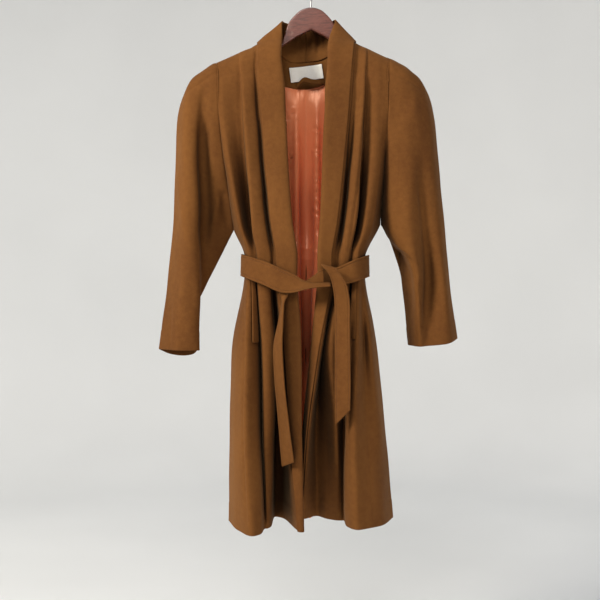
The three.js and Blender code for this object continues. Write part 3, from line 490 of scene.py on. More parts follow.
class Nodes:
    """A procedural material, built node by node."""

    def __init__(self, name):
        self.material = bpy.data.materials.new(name)
        self.material.use_nodes = True
        self.tree = self.material.node_tree
        self.shader = self.tree.nodes["Principled BSDF"]
        self.place = self.add("ShaderNodeTexCoord").outputs["Object"]

    def add(self, kind, **settings):
        node = self.tree.nodes.new(kind)
        for key, value in settings.items():
            if hasattr(node, key):
                setattr(node, key, value)
            else:
                self.feed(node.inputs[key.replace("_", " ").title()], value)
        return node

    def feed(self, socket, value):
        if isinstance(value, bpy.types.NodeSocket):
            self.tree.links.new(value, socket)
        else:
            socket.default_value = value

    def scaled(self, x, y, z, rotation=(0, 0, 0)):
        return self.add("ShaderNodeMapping", Vector=self.place, Scale=(x, y, z),
                        Rotation=rotation).outputs["Vector"]

    def noise(self, vector, scale, detail=2.0, roughness=0.5, distortion=0.0):
        return self.add("ShaderNodeTexNoise", Vector=vector, Scale=scale, Detail=detail,
                        Roughness=roughness, Distortion=distortion).outputs["Fac"]

    def bands(self, direction, vector, scale, distortion):
        return self.add("ShaderNodeTexWave", wave_type="BANDS", bands_direction=direction, Vector=vector,
                        Scale=scale, Distortion=distortion).outputs["Fac"]

    def ramp(self, value, *stops):
        node = self.add("ShaderNodeValToRGB")
        self.feed(node.inputs["Fac"], value)
        elements = node.color_ramp.elements
        while len(elements) < len(stops):
            elements.new(0.5)
        for element, (position, colour) in zip(elements, stops):
            element.position = position
            element.color = (*colour, 1)
        return node.outputs["Color"]

    def mix(self, factor, a, b, blend="MIX"):
        node = self.add("ShaderNodeMix", data_type="RGBA", blend_type=blend)
        self.feed(node.inputs[0], factor)
        self.feed(node.inputs[6], a)
        self.feed(node.inputs[7], b)
        return node.outputs[2]

    def math(self, operation, a, b=0.0):
        node = self.add("ShaderNodeMath", operation=operation)
        self.feed(node.inputs[0], a)
        self.feed(node.inputs[1], b)
        return node.outputs[0]

    def total(self, *terms, start=None):
        """The sum of sockets times their weights."""
        out = start
        for socket, weight in terms:
            part = self.math("MULTIPLY", socket, weight)
            out = part if out is None else self.math("ADD", out, part)
        return out

    def painted_fold_shade(self, distance, darkest):
        """Painted shade: white in the open, falling to `darkest` between folds, where nearby cloth hides the
        light.
        """
        node = self.add("ShaderNodeAmbientOcclusion", samples=6, Distance=distance)
        return self.ramp(node.outputs["AO"], (0.14, darkest), (0.68, (1, 1, 1)))

    def bump(self, height, distance, strength=1.0, normal=None):
        node = self.add("ShaderNodeBump", Height=height, Distance=distance, Strength=strength)
        if normal is not None:
            self.feed(node.inputs["Normal"], normal)
        return node.outputs["Normal"]

    def finish(self, colour, normal=None, roughness=0.5, **constants):
        for key, value in dict(Base_Color=colour, Roughness=roughness, Normal=normal, **constants).items():
            if value is not None:
                self.feed(self.shader.inputs[key.replace("_", " ")], value)
        return self.material


def coating(name, dark, light, tint=(0.95, 0.62, 0.32, 1)):
    """Brushed wool coating: a close nap with streaks down the grain over a faint twill."""
    n = Nodes(name)
    nap = n.noise(n.place, 620, 4, 0.62)
    fibres = n.noise(n.scaled(1, 1, 0.22), 1500, 2, 0.6)
    twill = n.bands("DIAGONAL", n.scaled(1, 0.4, 1, (0, math.radians(18), 0)), 260, 1.2)
    patches = n.noise(n.scaled(1, 1, 0.45), 7, 3, 0.55)
    mottle = n.noise(n.place, 95, 3, 0.6)
    tone = n.total((patches, 0.7), (mottle, 0.3))
    colour = n.ramp(tone, (0.36, dark), (0.64, light))
    flecks = n.ramp(fibres, (0.5, (0.5, 0.5, 0.5)), (0.72, (0.78, 0.74, 0.66)))
    colour = n.mix(0.35, colour, flecks, "SOFT_LIGHT")
    # Painted shade: the wool colour darkens between folds by ambient occlusion.
    colour = n.mix(1.0, colour, n.painted_fold_shade(0.1, (0.1, 0.08, 0.075)), "MULTIPLY")
    normal = n.bump(n.total((nap, 0.6), (fibres, 0.5), (twill, 0.14)), 0.0005, 0.55)
    return n.finish(colour, normal, n.total((nap, 0.22), start=0.8), Specular_IOR_Level=0.12,
                    Sheen_Weight=0.08, Sheen_Roughness=0.42, Sheen_Tint=tint)


def satin(name, dark, light):
    """Satin lining: long floats that catch the light across the cloth, faint slubs and small puckers."""
    n = Nodes(name)
    threads = n.noise(n.scaled(1, 1, 0.05), 2600, 2, 0.5)
    slubs = n.noise(n.scaled(0.12, 0.12, 1), 900, 2, 0.5)
    puckers = n.noise(n.scaled(1, 1, 0.6), 55, 3, 0.55, 0.6)
    patches = n.noise(n.scaled(1, 1, 0.4), 12, 3, 0.5)
    colour = n.ramp(n.total((patches, 0.7), (threads, 0.3)), (0.35, dark), (0.68, light))
    # Painted shade: the satin colour darkens between folds by ambient occlusion.
    colour = n.mix(1.0, colour, n.painted_fold_shade(0.045, (0.2, 0.11, 0.13)), "MULTIPLY")
    normal = n.bump(n.total((threads, 0.12), (slubs, 0.08)), 0.0003, 0.35)
    normal = n.bump(puckers, 0.0016, 0.5, normal)
    return n.finish(colour, normal, n.total((slubs, 0.14), start=0.26), Specular_IOR_Level=1.0,
                    Specular_Tint=(1, 0.6, 0.42, 1), Anisotropic=0.55, Sheen_Weight=0.25,
                    Sheen_Roughness=0.3, Sheen_Tint=(1, 0.7, 0.55, 1))


def woven_label(name):
    """Close woven label cloth with fine ribs."""
    n = Nodes(name)
    ribs = n.bands("Z", n.scaled(1, 1, 1, (0, -0.134, 0)), 300, 0.6)
    threads = n.noise(n.scaled(1, 1, 0.3), 1800, 2, 0.5)
    shade = n.noise(n.place, 60, 3, 0.6)
    colour = n.ramp(shade, (0.3, (0.88, 0.87, 0.8)), (0.7, (0.95, 0.945, 0.9)))
    grey = n.ramp(threads, (0.3, (0.35, 0.35, 0.35)), (0.7, (0.62, 0.62, 0.62)))
    colour = n.mix(0.2, colour, grey, "SOFT_LIGHT")
    height = n.total((ribs, 0.5), (threads, 0.4))
    return n.finish(colour, n.bump(height, 0.0003, 0.6), 0.6, Specular_IOR_Level=0.35,
                    Sheen_Weight=0.15, Sheen_Roughness=0.4)


def thread(name, colour):
    """Twisted sewing thread."""
    n = Nodes(name)
    twist = n.noise(n.scaled(1, 1, 1, (0.6, 0.4, 0)), 2400, 1, 0.5)
    return n.finish(n.mix(twist, tuple(0.75 * c for c in colour) + (1,), (*colour, 1)),
                    n.bump(twist, 0.0002, 0.5), 0.6, Specular_IOR_Level=0.35)


def lacquer(name):
    """Clear lacquer over stained wood, with grain along the arms, small chips and dull handling marks."""
    n = Nodes(name)
    grain = n.noise(n.scaled(0.35, 1, 2.2), 70, 6, 0.62, 1.4)
    pores = n.noise(n.scaled(0.12, 1, 1.4), 900, 2, 0.5)
    worn = n.noise(n.place, 34, 5, 0.7)
    colour = n.ramp(grain, (0.3, (0.075, 0.022, 0.015)), (0.55, (0.15, 0.045, 0.03)),
                    (0.8, (0.21, 0.07, 0.045)))
    colour = n.mix(n.ramp(pores, (0.28, (1, 1, 1)), (0.4, (0, 0, 0))), colour, (0.05, 0.014, 0.01, 1))
    marks = n.ramp(worn, (0.6, (0, 0, 0)), (0.72, (1, 1, 1)))
    colour = n.mix(n.math("MULTIPLY", marks, 0.5), colour, (0.3, 0.17, 0.13, 1))
    normal = n.bump(n.total((grain, 0.3), (pores, 0.3)), 0.0006, 0.35)
    return n.finish(colour, normal, n.total((marks, 0.3), start=0.3), Specular_IOR_Level=0.5,
                    Coat_Weight=0.6, Coat_Roughness=0.22)


def drawn_wire(name):
    """Bright drawn steel wire with fine marks along it."""
    n = Nodes(name)
    marks = n.noise(n.scaled(1, 1, 0.2), 900, 3, 0.6)
    colour = n.ramp(marks, (0.3, (0.24, 0.24, 0.25)), (0.7, (0.4, 0.4, 0.41)))
    return n.finish(colour, n.bump(marks, 0.0001, 0.4), n.total((marks, 0.2), start=0.22), Metallic=1.0)


def painted(name, low, high, far):
    """Pale paint that greys towards the front of the room, so that the light on the coat has a side."""
    n = Nodes(name)
    paint = n.ramp(n.noise(n.place, 1.4, 2, 0.5), (0.3, low), (0.7, high))
    forward = n.math("MULTIPLY", n.add("ShaderNodeSeparateXYZ", Vector=n.place).outputs["Y"], -0.33)
    front = n.ramp(forward, (0.16, (0, 0, 0)), (0.55, (1, 1, 1)))
    return n.finish(n.mix(front, paint, (*far, 1)), None, 0.9, Specular_IOR_Level=0.1)


WOOL_DARK, WOOL_LIGHT = (0.11, 0.041, 0.0105), (0.165, 0.066, 0.0165)
materials = {
    "wool": coating("tobacco_wool", WOOL_DARK, WOOL_LIGHT),
    "satin": satin("rust_satin", (0.76, 0.18, 0.075), (0.97, 0.3, 0.13)),
    "label": woven_label("ivory_label"),
    "thread": thread("brown_thread", (0.16, 0.065, 0.02)),
    "label_thread": thread("ivory_thread", (0.66, 0.63, 0.55)),
    "lacquer": lacquer("red_brown_lacquer"),
    "steel": drawn_wire("steel_wire"),
    "floor": painted("pale_paint", (0.79, 0.81, 0.83), (0.83, 0.85, 0.87), (0.3, 0.3, 0.31)),
}

# ---- shell panels ----

BODY_LEVELS = steps([14, 22, 60, 18, 13, 38, 48, 50])
SLEEVE_LEVELS = steps([22, 20, 58, 34, 34])
LINING_LEVELS = steps([16, 56, 17, 12, 34, 42, 40])
HIDDEN_LEVELS = steps([4, 14, 6, 5, 12, 14, 14])


def seam_height(side, x):
    shoulder = SHOULDER[side]
    return shoulder["neck_z"] - shoulder["fall"] * abs(x - shoulder["neck_x"])


def body_heights(line, top):
    return [top, YOKE, CHEST, line.get("underarm", UNDERARM), WAIST, HIP, KNEE, HEM]


def front_heights(side):
    return lambda line: body_heights(line, seam_height(side, line["x"][0]))


def back_heights(line):
    return body_heights(line, line["top"])


def sleeve_heights(line):
    return [line["top"], line["cap"], CHEST, line.get("underarm", UNDERARM),
            line.get("elbow", ELBOW), line["cuff"]]


def lining_heights(_):
    return [LINING_TOP, CHEST, UNDERARM, WAIST, HIP, KNEE, LINING_HEM]


def even_columns(table, heights_of, levels, spacing):
    """Places across a table, about evenly spaced in millimetres of cloth."""
    folds = drape(table, heights_of, levels, np.arange(len(table)))
    widest = np.max(np.diff(lengths(folds, 1), axis=1), axis=0)
    return steps([max(3, math.ceil(width / spacing)) for width in widest])


def pulls(seed, count, x_from, x_to, z_range, rise):
    """Short slanting pull wrinkles beside a held edge."""
    rng = np.random.default_rng(seed)
    found = []
    for z in np.sort(rng.uniform(*z_range, count)):
        start = x_from + rng.uniform(-4, 4)
        end = x_to + rng.uniform(-5, 5)
        lift = rise * rng.uniform(0.5, 1.3)
        middle = ((start + end) / 2, z + lift / 2 + rng.uniform(-2, 2))
        path = [(start, z), middle, (end, z + lift)]
        found.append(("pull", rng.uniform(1.8, 3.2), rng.uniform(-3.2, -1.5), path))
    return found


def gathers(seed, xs, top, bottom, height):
    """Small upright folds where the belt draws the cloth in."""
    rng = np.random.default_rng(seed)
    found = []
    for x in xs:
        lean = rng.uniform(-9, 9)
        up, down = rng.uniform(0.6, 1, 2)
        path = [(x + lean, WAIST + up * top), (x, WAIST), (x - lean, WAIST - down * bottom)]
        found.append(("soft", rng.uniform(4, 7), height * rng.uniform(0.6, 1.2) * rng.choice([-1, 1]), path))
    return found


# Creases: kind, width, height, and the path in x and z.
CREASES = {
    "front_right": [
        ("step", 8, 3.8, [(-151, -188), (-147, -272), (-137, -402), (-125, -543), (-119, -614)]),
        ("step", 7, 2.6, [(-122, -174), (-119, -226), (-112, -339)]),
        ("step", 8, 3.2, [(-139, -690), (-138, -800), (-139, -956), (-135, -1071), (-126, -1200)]),
        ("soft", 7, 2.0, [(-196, -270), (-184, -379), (-161, -496), (-143, -589)]),
    ],
    "front_left": [
        ("step", 8, -3.8, [(115, -182), (114, -262), (106, -356), (97, -450), (83, -543), (71, -624)]),
        ("step", 10, 3.2, [(73, -930), (72, -1018), (72, -1123), (73, -1200)]),
        ("soft", 1.6, -0.9, [(118, -976), (121, -1039), (126, -1102), (130, -1190)]),
    ],
    "back": [*gathers(5, (-132, -96, -58, -34, 6, 31, 66, 92), 120, 150, 2.4),
             ("soft", 14, -2.5, [(-150, -240), (-95, -262), (-40, -246)]),
             ("soft", 14, -2.5, [(130, -232), (80, -256), (22, -244)])],
    "sleeve_right_front": [
        ("soft", 1.6, -0.9, [(-302, -700), (-302, -747), (-304, -822)]),
        ("soft", 6, 1.3, [(-290, -415), (-281, -490), (-268, -554)]),
        ("soft", 7, 2.6, [(-216, -545), (-205, -505), (-199, -470)]),
        ("soft", 9, -4.0, [(-184, -545), (-190, -500), (-196, -462)]),
        ("soft", 2.2, -0.5, [(-281, -448), (-266, -440), (-245, -446)]),
        ("soft", 12, -8.0, [(-228, -290), (-233, -400), (-229, -500), (-234, -610)]),
    ],
    "sleeve_right_back": [("soft", 9, 2.5, [(-262, -560), (-238, -590), (-214, -640)]),
                          ("soft", 8, -2.2, [(-280, -620), (-252, -640), (-226, -690)])],
    "sleeve_left_front": [
        ("soft", 1.6, -0.9, [(227, -674), (227, -725), (228, -815)]),
        ("soft", 2.4, -1.3, [(231, -759), (244, -762), (256, -761)]),
        ("soft", 12, 1.8, [(233, -262), (199, -331), (173, -383), (156, -451)]),
        ("soft", 2.5, -0.6, [(186, -494), (203, -498), (216, -507)]),
        ("soft", 9, -8.0, [(232, -430), (243, -530), (249, -590), (253, -650), (252, -704), (243, -768)]),
        ("step", 14, 4.0, [(150, -540), (187, -588), (216, -619), (224, -644), (226, -683)]),
    ],
    "sleeve_left_back": [("soft", 9, 2.5, [(256, -540), (230, -580), (206, -620)]),
                         ("soft", 8, -2.2, [(270, -610), (246, -640), (224, -680)])],
    "lining_back": [
        ("soft", 2.2, -1.4, [(-11, -226), (-11, -325), (-11, -425)]),
        ("soft", 5.5, 9.0, [(-33, -245), (-32, -450), (-31, -620), (-26, -760), (-25, -960)]),
        ("soft", 5.5, 9.0, [(14, -245), (13, -450), (13, -620), (6, -760), (5, -900)]),
        ("soft", 13, -8.0, [(-10, -380), (-10, -470), (-10, -620), (-10, -800), (-10, -1000)]),
        ("soft", 2.6, 1.6, [(-27, -585), (-13, -588), (1, -585)]),
        ("soft", 2.6, 1.4, [(-27, -612), (-13, -614), (1, -611)]),
        ("soft", 2.4, 1.2, [(-42, -460), (-34, -462), (-25, -459)]),
        ("step", 8, 2.0, [(6, -550), (14, -546), (24, -543)]),
        *pulls(21, 17, -58, -35, (-615, -290), 15),
        *pulls(22, 17, 26, 5, (-620, -330), 17),
        *pulls(23, 8, -96, -60, (-620, -320), 15),
        *pulls(24, 8, 70, 36, (-620, -320), 15),
    ],
    "collar_right": [
        ("soft", 3, -0.6, [(-102, -250), (-96, -268), (-90, -284)]),
        ("soft", 4, -2.6, [(-20, -92), (-21, -125), (-23, -152)]),
        ("soft", 4, 1.8, [(-30, -92), (-31, -120), (-34, -145)]),
    ],
    "collar_left": [
        ("soft", 3.2, -2.4, [(-4, -92), (-4, -122), (-6, -150)]),
        ("soft", 4, 2.4, [(6, -92), (7, -120), (5, -148)]),
        ("soft", 3.2, -2.6, [(14, -92), (15, -125), (12, -155)]),
        ("soft", 4, 2.2, [(23, -92), (24, -118), (20, -146)]),
    ],
}

SEAM_GAP = 0.7
# Distance between columns of points. Cloth that faces the viewer has the finer creases.
FRONT_SPACING = 3.5
REAR_SPACING = 4.4
BACK_SPACING = 5.4
FRONT_SEAMS = ("top", "last")
ALL_SEAMS = ("top", "first", "last")
SHELL = [
    ("front_right", FRONT_RIGHT, front_heights("right"), BODY_LEVELS, 1, FRONT_SEAMS, FRONT_SPACING),
    ("front_left", FRONT_LEFT, front_heights("left"), BODY_LEVELS, -1, FRONT_SEAMS, FRONT_SPACING),
    ("back", BACK, back_heights, BODY_LEVELS, 1, ALL_SEAMS, BACK_SPACING),
    ("sleeve_right_front", SLEEVE_RIGHT_FRONT, sleeve_heights, SLEEVE_LEVELS, 1, ALL_SEAMS, FRONT_SPACING),
    ("sleeve_right_back", SLEEVE_RIGHT_BACK, sleeve_heights, SLEEVE_LEVELS, 1, ALL_SEAMS, REAR_SPACING),
    ("sleeve_left_front", SLEEVE_LEFT_FRONT, sleeve_heights, SLEEVE_LEVELS, -1, ALL_SEAMS, FRONT_SPACING),
    ("sleeve_left_back", SLEEVE_LEFT_BACK, sleeve_heights, SLEEVE_LEVELS, -1, ALL_SEAMS, REAR_SPACING),
]


def keep(obj, node, material):
    """Give a piece its material, tie it to its body and hide the node that it replaces. Stitches stand for no
    node.
    """
    obj.data.materials.append(materials[material])
    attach(obj, "root")
    if node:
        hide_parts(node)
    return obj


CLOTHS = {
    "wool": ("_cloth", "shell_coating"),
    "satin": ("_satin", "lining_satin"),
    "label": ("_cloth", "label_cloth"),
}


def cloth(node, grid, thickness, material="wool"):
    """A closed wall of cloth in place of a node."""
    ending, slot = CLOTHS[material]
    obj = keep(make_mesh(node + ending, *wall_mesh(grid, thickness)), node, material)


for name, table, heights, levels, outside, seams, spacing in SHELL:
    grid = drape(table, heights, levels, even_columns(table, heights, levels, spacing))
    if name == "back":
        back_grid = grid
    grid = relieved(trimmed(grid, SEAM_GAP), outside, seams, CREASES[name], rough=0.7, seed=3, hem=True)
    cloth(name, grid, WOOL)

# ---- neck facing, label and hanging loop ----

FACING_LIFT = WOOL + 2 * LAYER_GAP
NECK_REACH = 120
NECK_DEPTH = -330
beside_neck = np.abs(back_grid[..., 0] - CENTRE_X) < NECK_REACH
near_neck = back_grid[(back_grid[..., 2] > NECK_DEPTH) & beside_neck]


def inside_back(x, z, lift, reach=7.0):
    """Places just inside the back near the neck."""
    x, z = np.broadcast_arrays(x, z)
    gaps = (x[..., None] - near_neck[:, 0]) ** 2 + (z[..., None] - near_neck[:, 2]) ** 2
    weights = np.exp(-gaps / (2 * reach**2)) + 1e-12
    y = (weights * near_neck[:, 1]).sum(-1) / weights.sum(-1)
    return np.stack([x, y - lift, z], axis=-1)


NECK_SEAM = dict(x=[-78, -72, -46, -10, 24, 53, 58], z=[-150, -156, -174, -175, -169, -153, -146])
FACING_EDGE = dict(x=[-78, -64, -38, -9, 15, 34, 58], z=[-219, -226, -232, -233, -228, -222, -212])


def at_edge(edge, x):
    return np.interp(x, edge["x"], edge["z"])


facing_x = np.linspace(-74, 55, 44)
facing_share = np.linspace(0, 1, 26)[:, None]
facing_z = (1 - facing_share) * at_edge(NECK_SEAM, facing_x) + facing_share * at_edge(FACING_EDGE, facing_x)
facing = inside_back(np.broadcast_to(facing_x, facing_z.shape), facing_z, FACING_LIFT)
facing = relieved(facing, -1, ("top", "bottom"), rough=0.4, seed=5)
cloth("back_neck_facing", facing, WOOL)

LABEL = dict(x=-10, z=-198.5, width=72, height=31, tilt=0.134, thickness=0.8)
LABEL_LIFT = FACING_LIFT + WOOL / 2 + 1.2 * LAYER_GAP + LABEL["thickness"] / 2


def on_label(across, up, lift):
    """A place on the label, from its middle."""
    tilt = LABEL["tilt"]
    x = LABEL["x"] + across * math.cos(tilt) - up * math.sin(tilt)
    z = LABEL["z"] + across * math.sin(tilt) + up * math.cos(tilt)
    out = inside_back(x, z, lift)
    out[..., 1] -= 0.5 * np.sin(across / 9.0) * np.cos(up / 11.0) + 0.5
    return out


LABEL_GRID = (27, 61)
LABEL_FOLD = 6
label_x = np.linspace(-0.5, 0.5, LABEL_GRID[1]) * LABEL["width"]
label_z = np.linspace(0.5, -0.5, LABEL_GRID[0])[:, None] * LABEL["height"]
label_grid = on_label(*np.broadcast_arrays(label_x, label_z), LABEL_LIFT)
folded = np.abs(label_x) > LABEL["width"] / 2 - LABEL_FOLD
label_thickness = np.broadcast_to(LABEL["thickness"] + 0.7 * folded, LABEL_GRID)
label_stitches = []
for side in (-1, 1):
    across, up = side * (LABEL["width"] - LABEL_FOLD) / 2, np.linspace(0.47, -0.47, 24) * LABEL["height"]
    line = on_label(np.full(24, across), up, LABEL_LIFT + 0.75)
    facing_out = np.broadcast_to([0.0, -1.0, 0.0], line.shape)
    label_stitches.append(stitches(line, facing_out, pitch=2.2, length=1.6, radius=0.22))
label_stitches = keep(joined("label_stitches", label_stitches), None, "label_thread")
cloth("label", label_grid, label_thickness, "label")


def strip_grid(stations, per_span, across):
    """Centre line and reach at stations, joined smoothly. `across` runs from -1 to 1."""
    centres = np.array([s[0] for s in stations], float)
    reaches = np.array([s[1] for s in stations], float)
    places = steps([per_span] * (len(stations) - 1))
    centre, reach = spline(centres, places), spline(reaches, places)
    return centre[:, None] + np.asarray(across)[None, :, None] * reach[:, None]


LOOP_CLOTH = 2.4
LOOP = [
    ((-30, 24, -226.5), (0, 0, 4)),
    ((-16, 16, -215), (1, 0, 4)),
    ((2, 14, -219.5), (0, 0, 4)),
    ((20, 17, -220), (0, 0, 4)),
    ((31, 23, -218.5), (0, 0, 4)),
]
loop = strip_grid(LOOP, 12, np.linspace(-1, 1, 9))
cloth("hanging_loop", loop, LOOP_CLOTH)

# ---- linings ----

PUCKER = 0.8
HEM_SAG = 32
LININGS = [
    ("lining_back", LINING_BACK, LINING_LEVELS, -1, 3.8),
    ("lining_front_right", LINING_FRONT_RIGHT, HIDDEN_LEVELS, -1, 7),
    ("lining_front_left", LINING_FRONT_LEFT, HIDDEN_LEVELS, 1, 7),
]
for name, table, levels, outside, spacing in LININGS:
    grid = drape(table, lining_heights, levels, even_columns(table, lining_heights, levels, spacing))
    if name == "lining_back":
        near_top = np.exp(-((LINING_TOP - grid[..., 2]) / 26.0) ** 2)
        inside = np.clip((58 - np.abs(grid[..., 0] - CENTRE_X)) / 14, 0, 1) * near_top
        meets = inside_back(grid[..., 0], at_edge(FACING_EDGE, grid[..., 0]), FACING_LIFT)
        grid[..., 2] += inside * (meets[..., 2] - 0.8 - LINING_TOP)
        grid[..., 1] += inside * (meets[..., 1] - grid[..., 1])
        below = np.clip(LINING_TOP - grid[..., 2], 0, None)
        grid[..., 1] -= PUCKER * np.sin(grid[..., 0] / 1.5 + np.sin(grid[..., 0] / 7)) * np.exp(-below / 16)
        sag = np.clip((34 - np.abs(grid[..., 0] + 18)) / 16, 0, 1)
        grid[..., 2] -= HEM_SAG * sag * np.clip((KNEE - grid[..., 2]) / 150, 0, 1) ** 2
    grid = relieved(grid, outside, (), CREASES.get(name, ()), rough=1.1, seed=8)
    cloth(name, grid, SATIN, "satin")

# ---- collar ----

NECK_STATIONS = {
    "right": [
        dict(seam=(-10.6, 30, -172), fold=(-10.6, 38, -90), free=(-10.6, 52, -178)),
        dict(seam=(-46, 25, -173), fold=(-40, 32, -90), free=(-56, 47, -176)),
        dict(seam=(-72, 12, -154), fold=(-57, 18, -90), free=(-92, 35, -160)),
        dict(seam=(-88, 1, -130), fold=(-64, -3, -93.5), free=(-117, 5.5, -138.5)),
    ],
    "left": [
        dict(seam=(-9.4, 30, -172), fold=(-9.4, 38, -90), free=(-9.4, 52, -178)),
        dict(seam=(24, 26, -167), fold=(20, 32, -89), free=(34, 47, -176)),
        dict(seam=(53, 15, -151), fold=(40, 23, -89), free=(72, 36, -160)),
        dict(seam=(72, 3, -125), fold=(53, -4, -89.5), free=(97.5, 5.5, -136.5)),
    ],
}
COLLAR_LIFT = WOOL / 2 + LAYER_GAP + COLLAR_CLOTH / 2
TURN_IN = 0.175
BAND_END = {"right": 1.0, "left": 0.875}
NECK_OVERHANG = {"right": [24, 14, 5, 0], "left": [23, 17, 8, 0]}


def neck_section(station):
    seam, top, free = (np.array(station[k], float) for k in ("seam", "fold", "free"))
    return np.array([seam, seam + 0.9 * (top - seam), top, top + 0.1 * (free - top),
                     top + 0.5 * (free - top), free])


def collar_grid(side, table, outside):
    """The collar's band, from the centre back round the neck and down a front edge."""
    levels = steps([4, 2, 6, 2, 2, 6, 4, 4])[1:]
    band = drape(table, front_heights(side), levels, [0, TURN_IN, 0.5, BAND_END[side]])
    up = normals(band) * outside
    over, under = band + COLLAR_LIFT * up, band - COLLAR_LIFT * up
    outwards = unit(band[:, 0] - band[:, 1])
    overhang = np.interp(levels, [0.25, 0.5, 0.75, 1.0], NECK_OVERHANG[side])[:, None]
    before = np.stack([
        under[:, 1] + 0.3 * overhang * outwards,
        under[:, 0] + overhang * outwards,
        band[:, 0] + (COLLAR_LIFT + overhang) * outwards,
        over[:, 0] + overhang * outwards,
        over[:, 2],
        over[:, 3],
    ], axis=1)
    behind = np.stack([neck_section(s) for s in NECK_STATIONS[side]])
    sections = np.concatenate([behind, before])
    places = np.concatenate([steps([10] * 3), 3 + steps([8] + [9] * (len(before) - 1))[1:]])
    rows = np.moveaxis(spline(np.moveaxis(sections, 0, 1), places), 0, 1)
    return spline(rows, steps([6, 5, 4, 6, 8]))


for side, table, outside in (("right", FRONT_RIGHT, 1), ("left", FRONT_LEFT, -1)):
    grid = collar_grid(side, table, outside)
    grid = relieved(grid, outside, ("top",), CREASES[f"collar_{side}"], rough=0.4, seed=12)
    cloth(f"collar_{side}", grid, COLLAR_CLOTH)

# ---- belt and pocket welts ----

BELT_ROUND = [
    ((41, -112, -660), (-5, 0, 16)), ((66, -110, -652.5), (-6, 0, 17)), ((94, -104, -642), (-5, 0, 20)),
    ((115, -78, -634), (-2, 0, 21)), ((124, -30, -630), (0, 0, 22)), ((116, 12, -630), (0, 0, 22)),
    ((90, 34, -630), (0, 0, 22)), ((40, 36, -631), (0, 0, 22)), ((-11, 35, -632), (0, 0, 22)),
    ((-62, 36, -631), (0, 0, 22)), ((-112, 34, -629), (0, 0, 22)), ((-141, 12, -628), (0, 0, 22)),
    ((-150, -28, -628), (0, 0, 22)), ((-146, -66, -631), (2, 0, 21)), ((-130, -95, -637), (4, 0, 21)),
    ((-97, -108, -649), (6, 0, 21)), ((-57, -117, -667), (7, 0, 20)), ((-38, -120, -671), (4, 1, 17)),
    ((-17, -125, -673.5), (0, 4, 9)), ((1, -128, -674.5), (0, 7, 4)), ((17, -128.5, -673), (0, 7, 3)),
    ((37, -127, -672), (0, 7, 3)),
]
BELT_KNOT = [
    ((-15, -116.5, -671.5), (1, 0, 4)), ((2, -117.5, -664.5), (3, 0, 10.5)), ((14, -118, -658.5), (3, 0, 15)),
    ((24, -118, -657), (0, 0, 15)),
]
BELT_END_LEFT = [
    ((38, -118.5, -646), (8, 0, -3)), ((34.5, -128, -635.5), (14, 0, -3.3)),
    ((39, -137, -641), (12.5, 1, -2)), ((49, -138, -655), (11.5, -1, -1)), ((56, -136, -671), (13, -3, 0)),
    ((62, -129, -704), (14, -4, 0)), ((63, -123, -760), (14, -5, 0)), ((63.5, -121, -850), (14.5, -5, 0)),
    ((64, -120, -945), (14, -5, 15)),
]
BELT_END_RIGHT = [
    ((-57, -109.5, -668), (10, 0, 0)), ((-58, -110, -692), (8, -2, 0)), ((-60, -114, -712), (2.2, -12, 0)),
    ((-64.5, -115, -752), (4.2, -13, 0)), ((-69.8, -114, -799), (8.4, -15, 0)),
    ((-67, -113, -870), (9.3, -17, 0)),
    ((-60, -113.5, -942), (9.8, -17, 0)), ((-49.5, -114, -1043), (11.5, -15, 7)),
]
STITCH_AT = 0.84
HALF_ACROSS = [0.25, 0.5, 0.7, 0.77, 0.81, 0.84, 0.87, 0.91, 0.96, 1]
BELT_ACROSS = np.array([-v for v in HALF_ACROSS[::-1]] + [0] + HALF_ACROSS)
BELTS = [("belt_round", BELT_ROUND, 12), ("belt_knot", BELT_KNOT, 14), ("belt_end_left", BELT_END_LEFT, 22),
         ("belt_end_right", BELT_END_RIGHT, 20)]


def belt_piece(name, stations, per_span):
    """A band of doubled cloth, sewn along both edges."""
    grid = strip_grid(stations, per_span, BELT_ACROSS)
    rng = np.random.default_rng(len(name))
    sway = uneven(lengths(grid, 0), lengths(grid, 1), int(rng.integers(99)), (40, 90), (60, 120), 8)
    grid = grid + 0.35 * sway[..., None] * normals(grid)
    grooves = 1.6 * np.exp(-((np.abs(BELT_ACROSS) - STITCH_AT) / 0.05) ** 2)
    thickness = np.broadcast_to(BELT_CLOTH - grooves, grid.shape[:2])
    rows_of_stitches = []
    up = normals(grid)
    for edge in (-STITCH_AT, STITCH_AT):
        column = int(np.argmin(np.abs(BELT_ACROSS - edge)))
        for face in (1, -1):
            lift = face * up[:, column]
            line = grid[:, column] + (BELT_CLOTH / 2 - 0.7) * lift
            rows_of_stitches.append(stitches(line, lift))
    sewn = keep(joined(name + "_stitches", rows_of_stitches), None, "thread")
    cloth(name, grid, thickness)


for name, stations, per_span in BELTS:
    belt_piece(name, stations, per_span)

WELT_CLOTH = 3
WELT_LIFT = WOOL / 2 + 3 * LAYER_GAP + WELT_CLOTH / 2
WELTS = [
    ("right", FRONT_RIGHT, 1, (5.05, 5.95), (7.05, 7.55)),
    ("left", FRONT_LEFT, -1, (5.05, 5.9), (7.1, 7.7)),
]
for side, table, outside, levels, columns in WELTS:
    grid = drape(table, front_heights(side), np.linspace(*levels, 34), np.linspace(*columns, 7))
    grid = grid + outside * WELT_LIFT * normals(grid)
    cloth(f"pocket_welt_{side}", grid, WELT_CLOTH)

# ---- hanger ----

ARM_TOP = [(0, -61.5), (21.5, -67), (37, -80), (50, -97), (57.5, -121), (66, -141),
           (77, -152), (99, -160), (130, -172), (165, -187), (200, -204)]
ARM_TIP = [(210, -212), (212, -220), (204, -223)]
ARM_UNDER = [(195, -219), (165, -204), (130, -190), (100, -177), (77, -166), (64, -147), (30, -125),
             (0, -110)]
HANGER_THICKNESS = 12
HANGER_FORWARD = -0.5
EDGE_ROUND = 3.0

curve = bpy.data.curves.new("hanger_outline", "CURVE")
curve.dimensions = "2D"
curve.fill_mode = "BOTH"
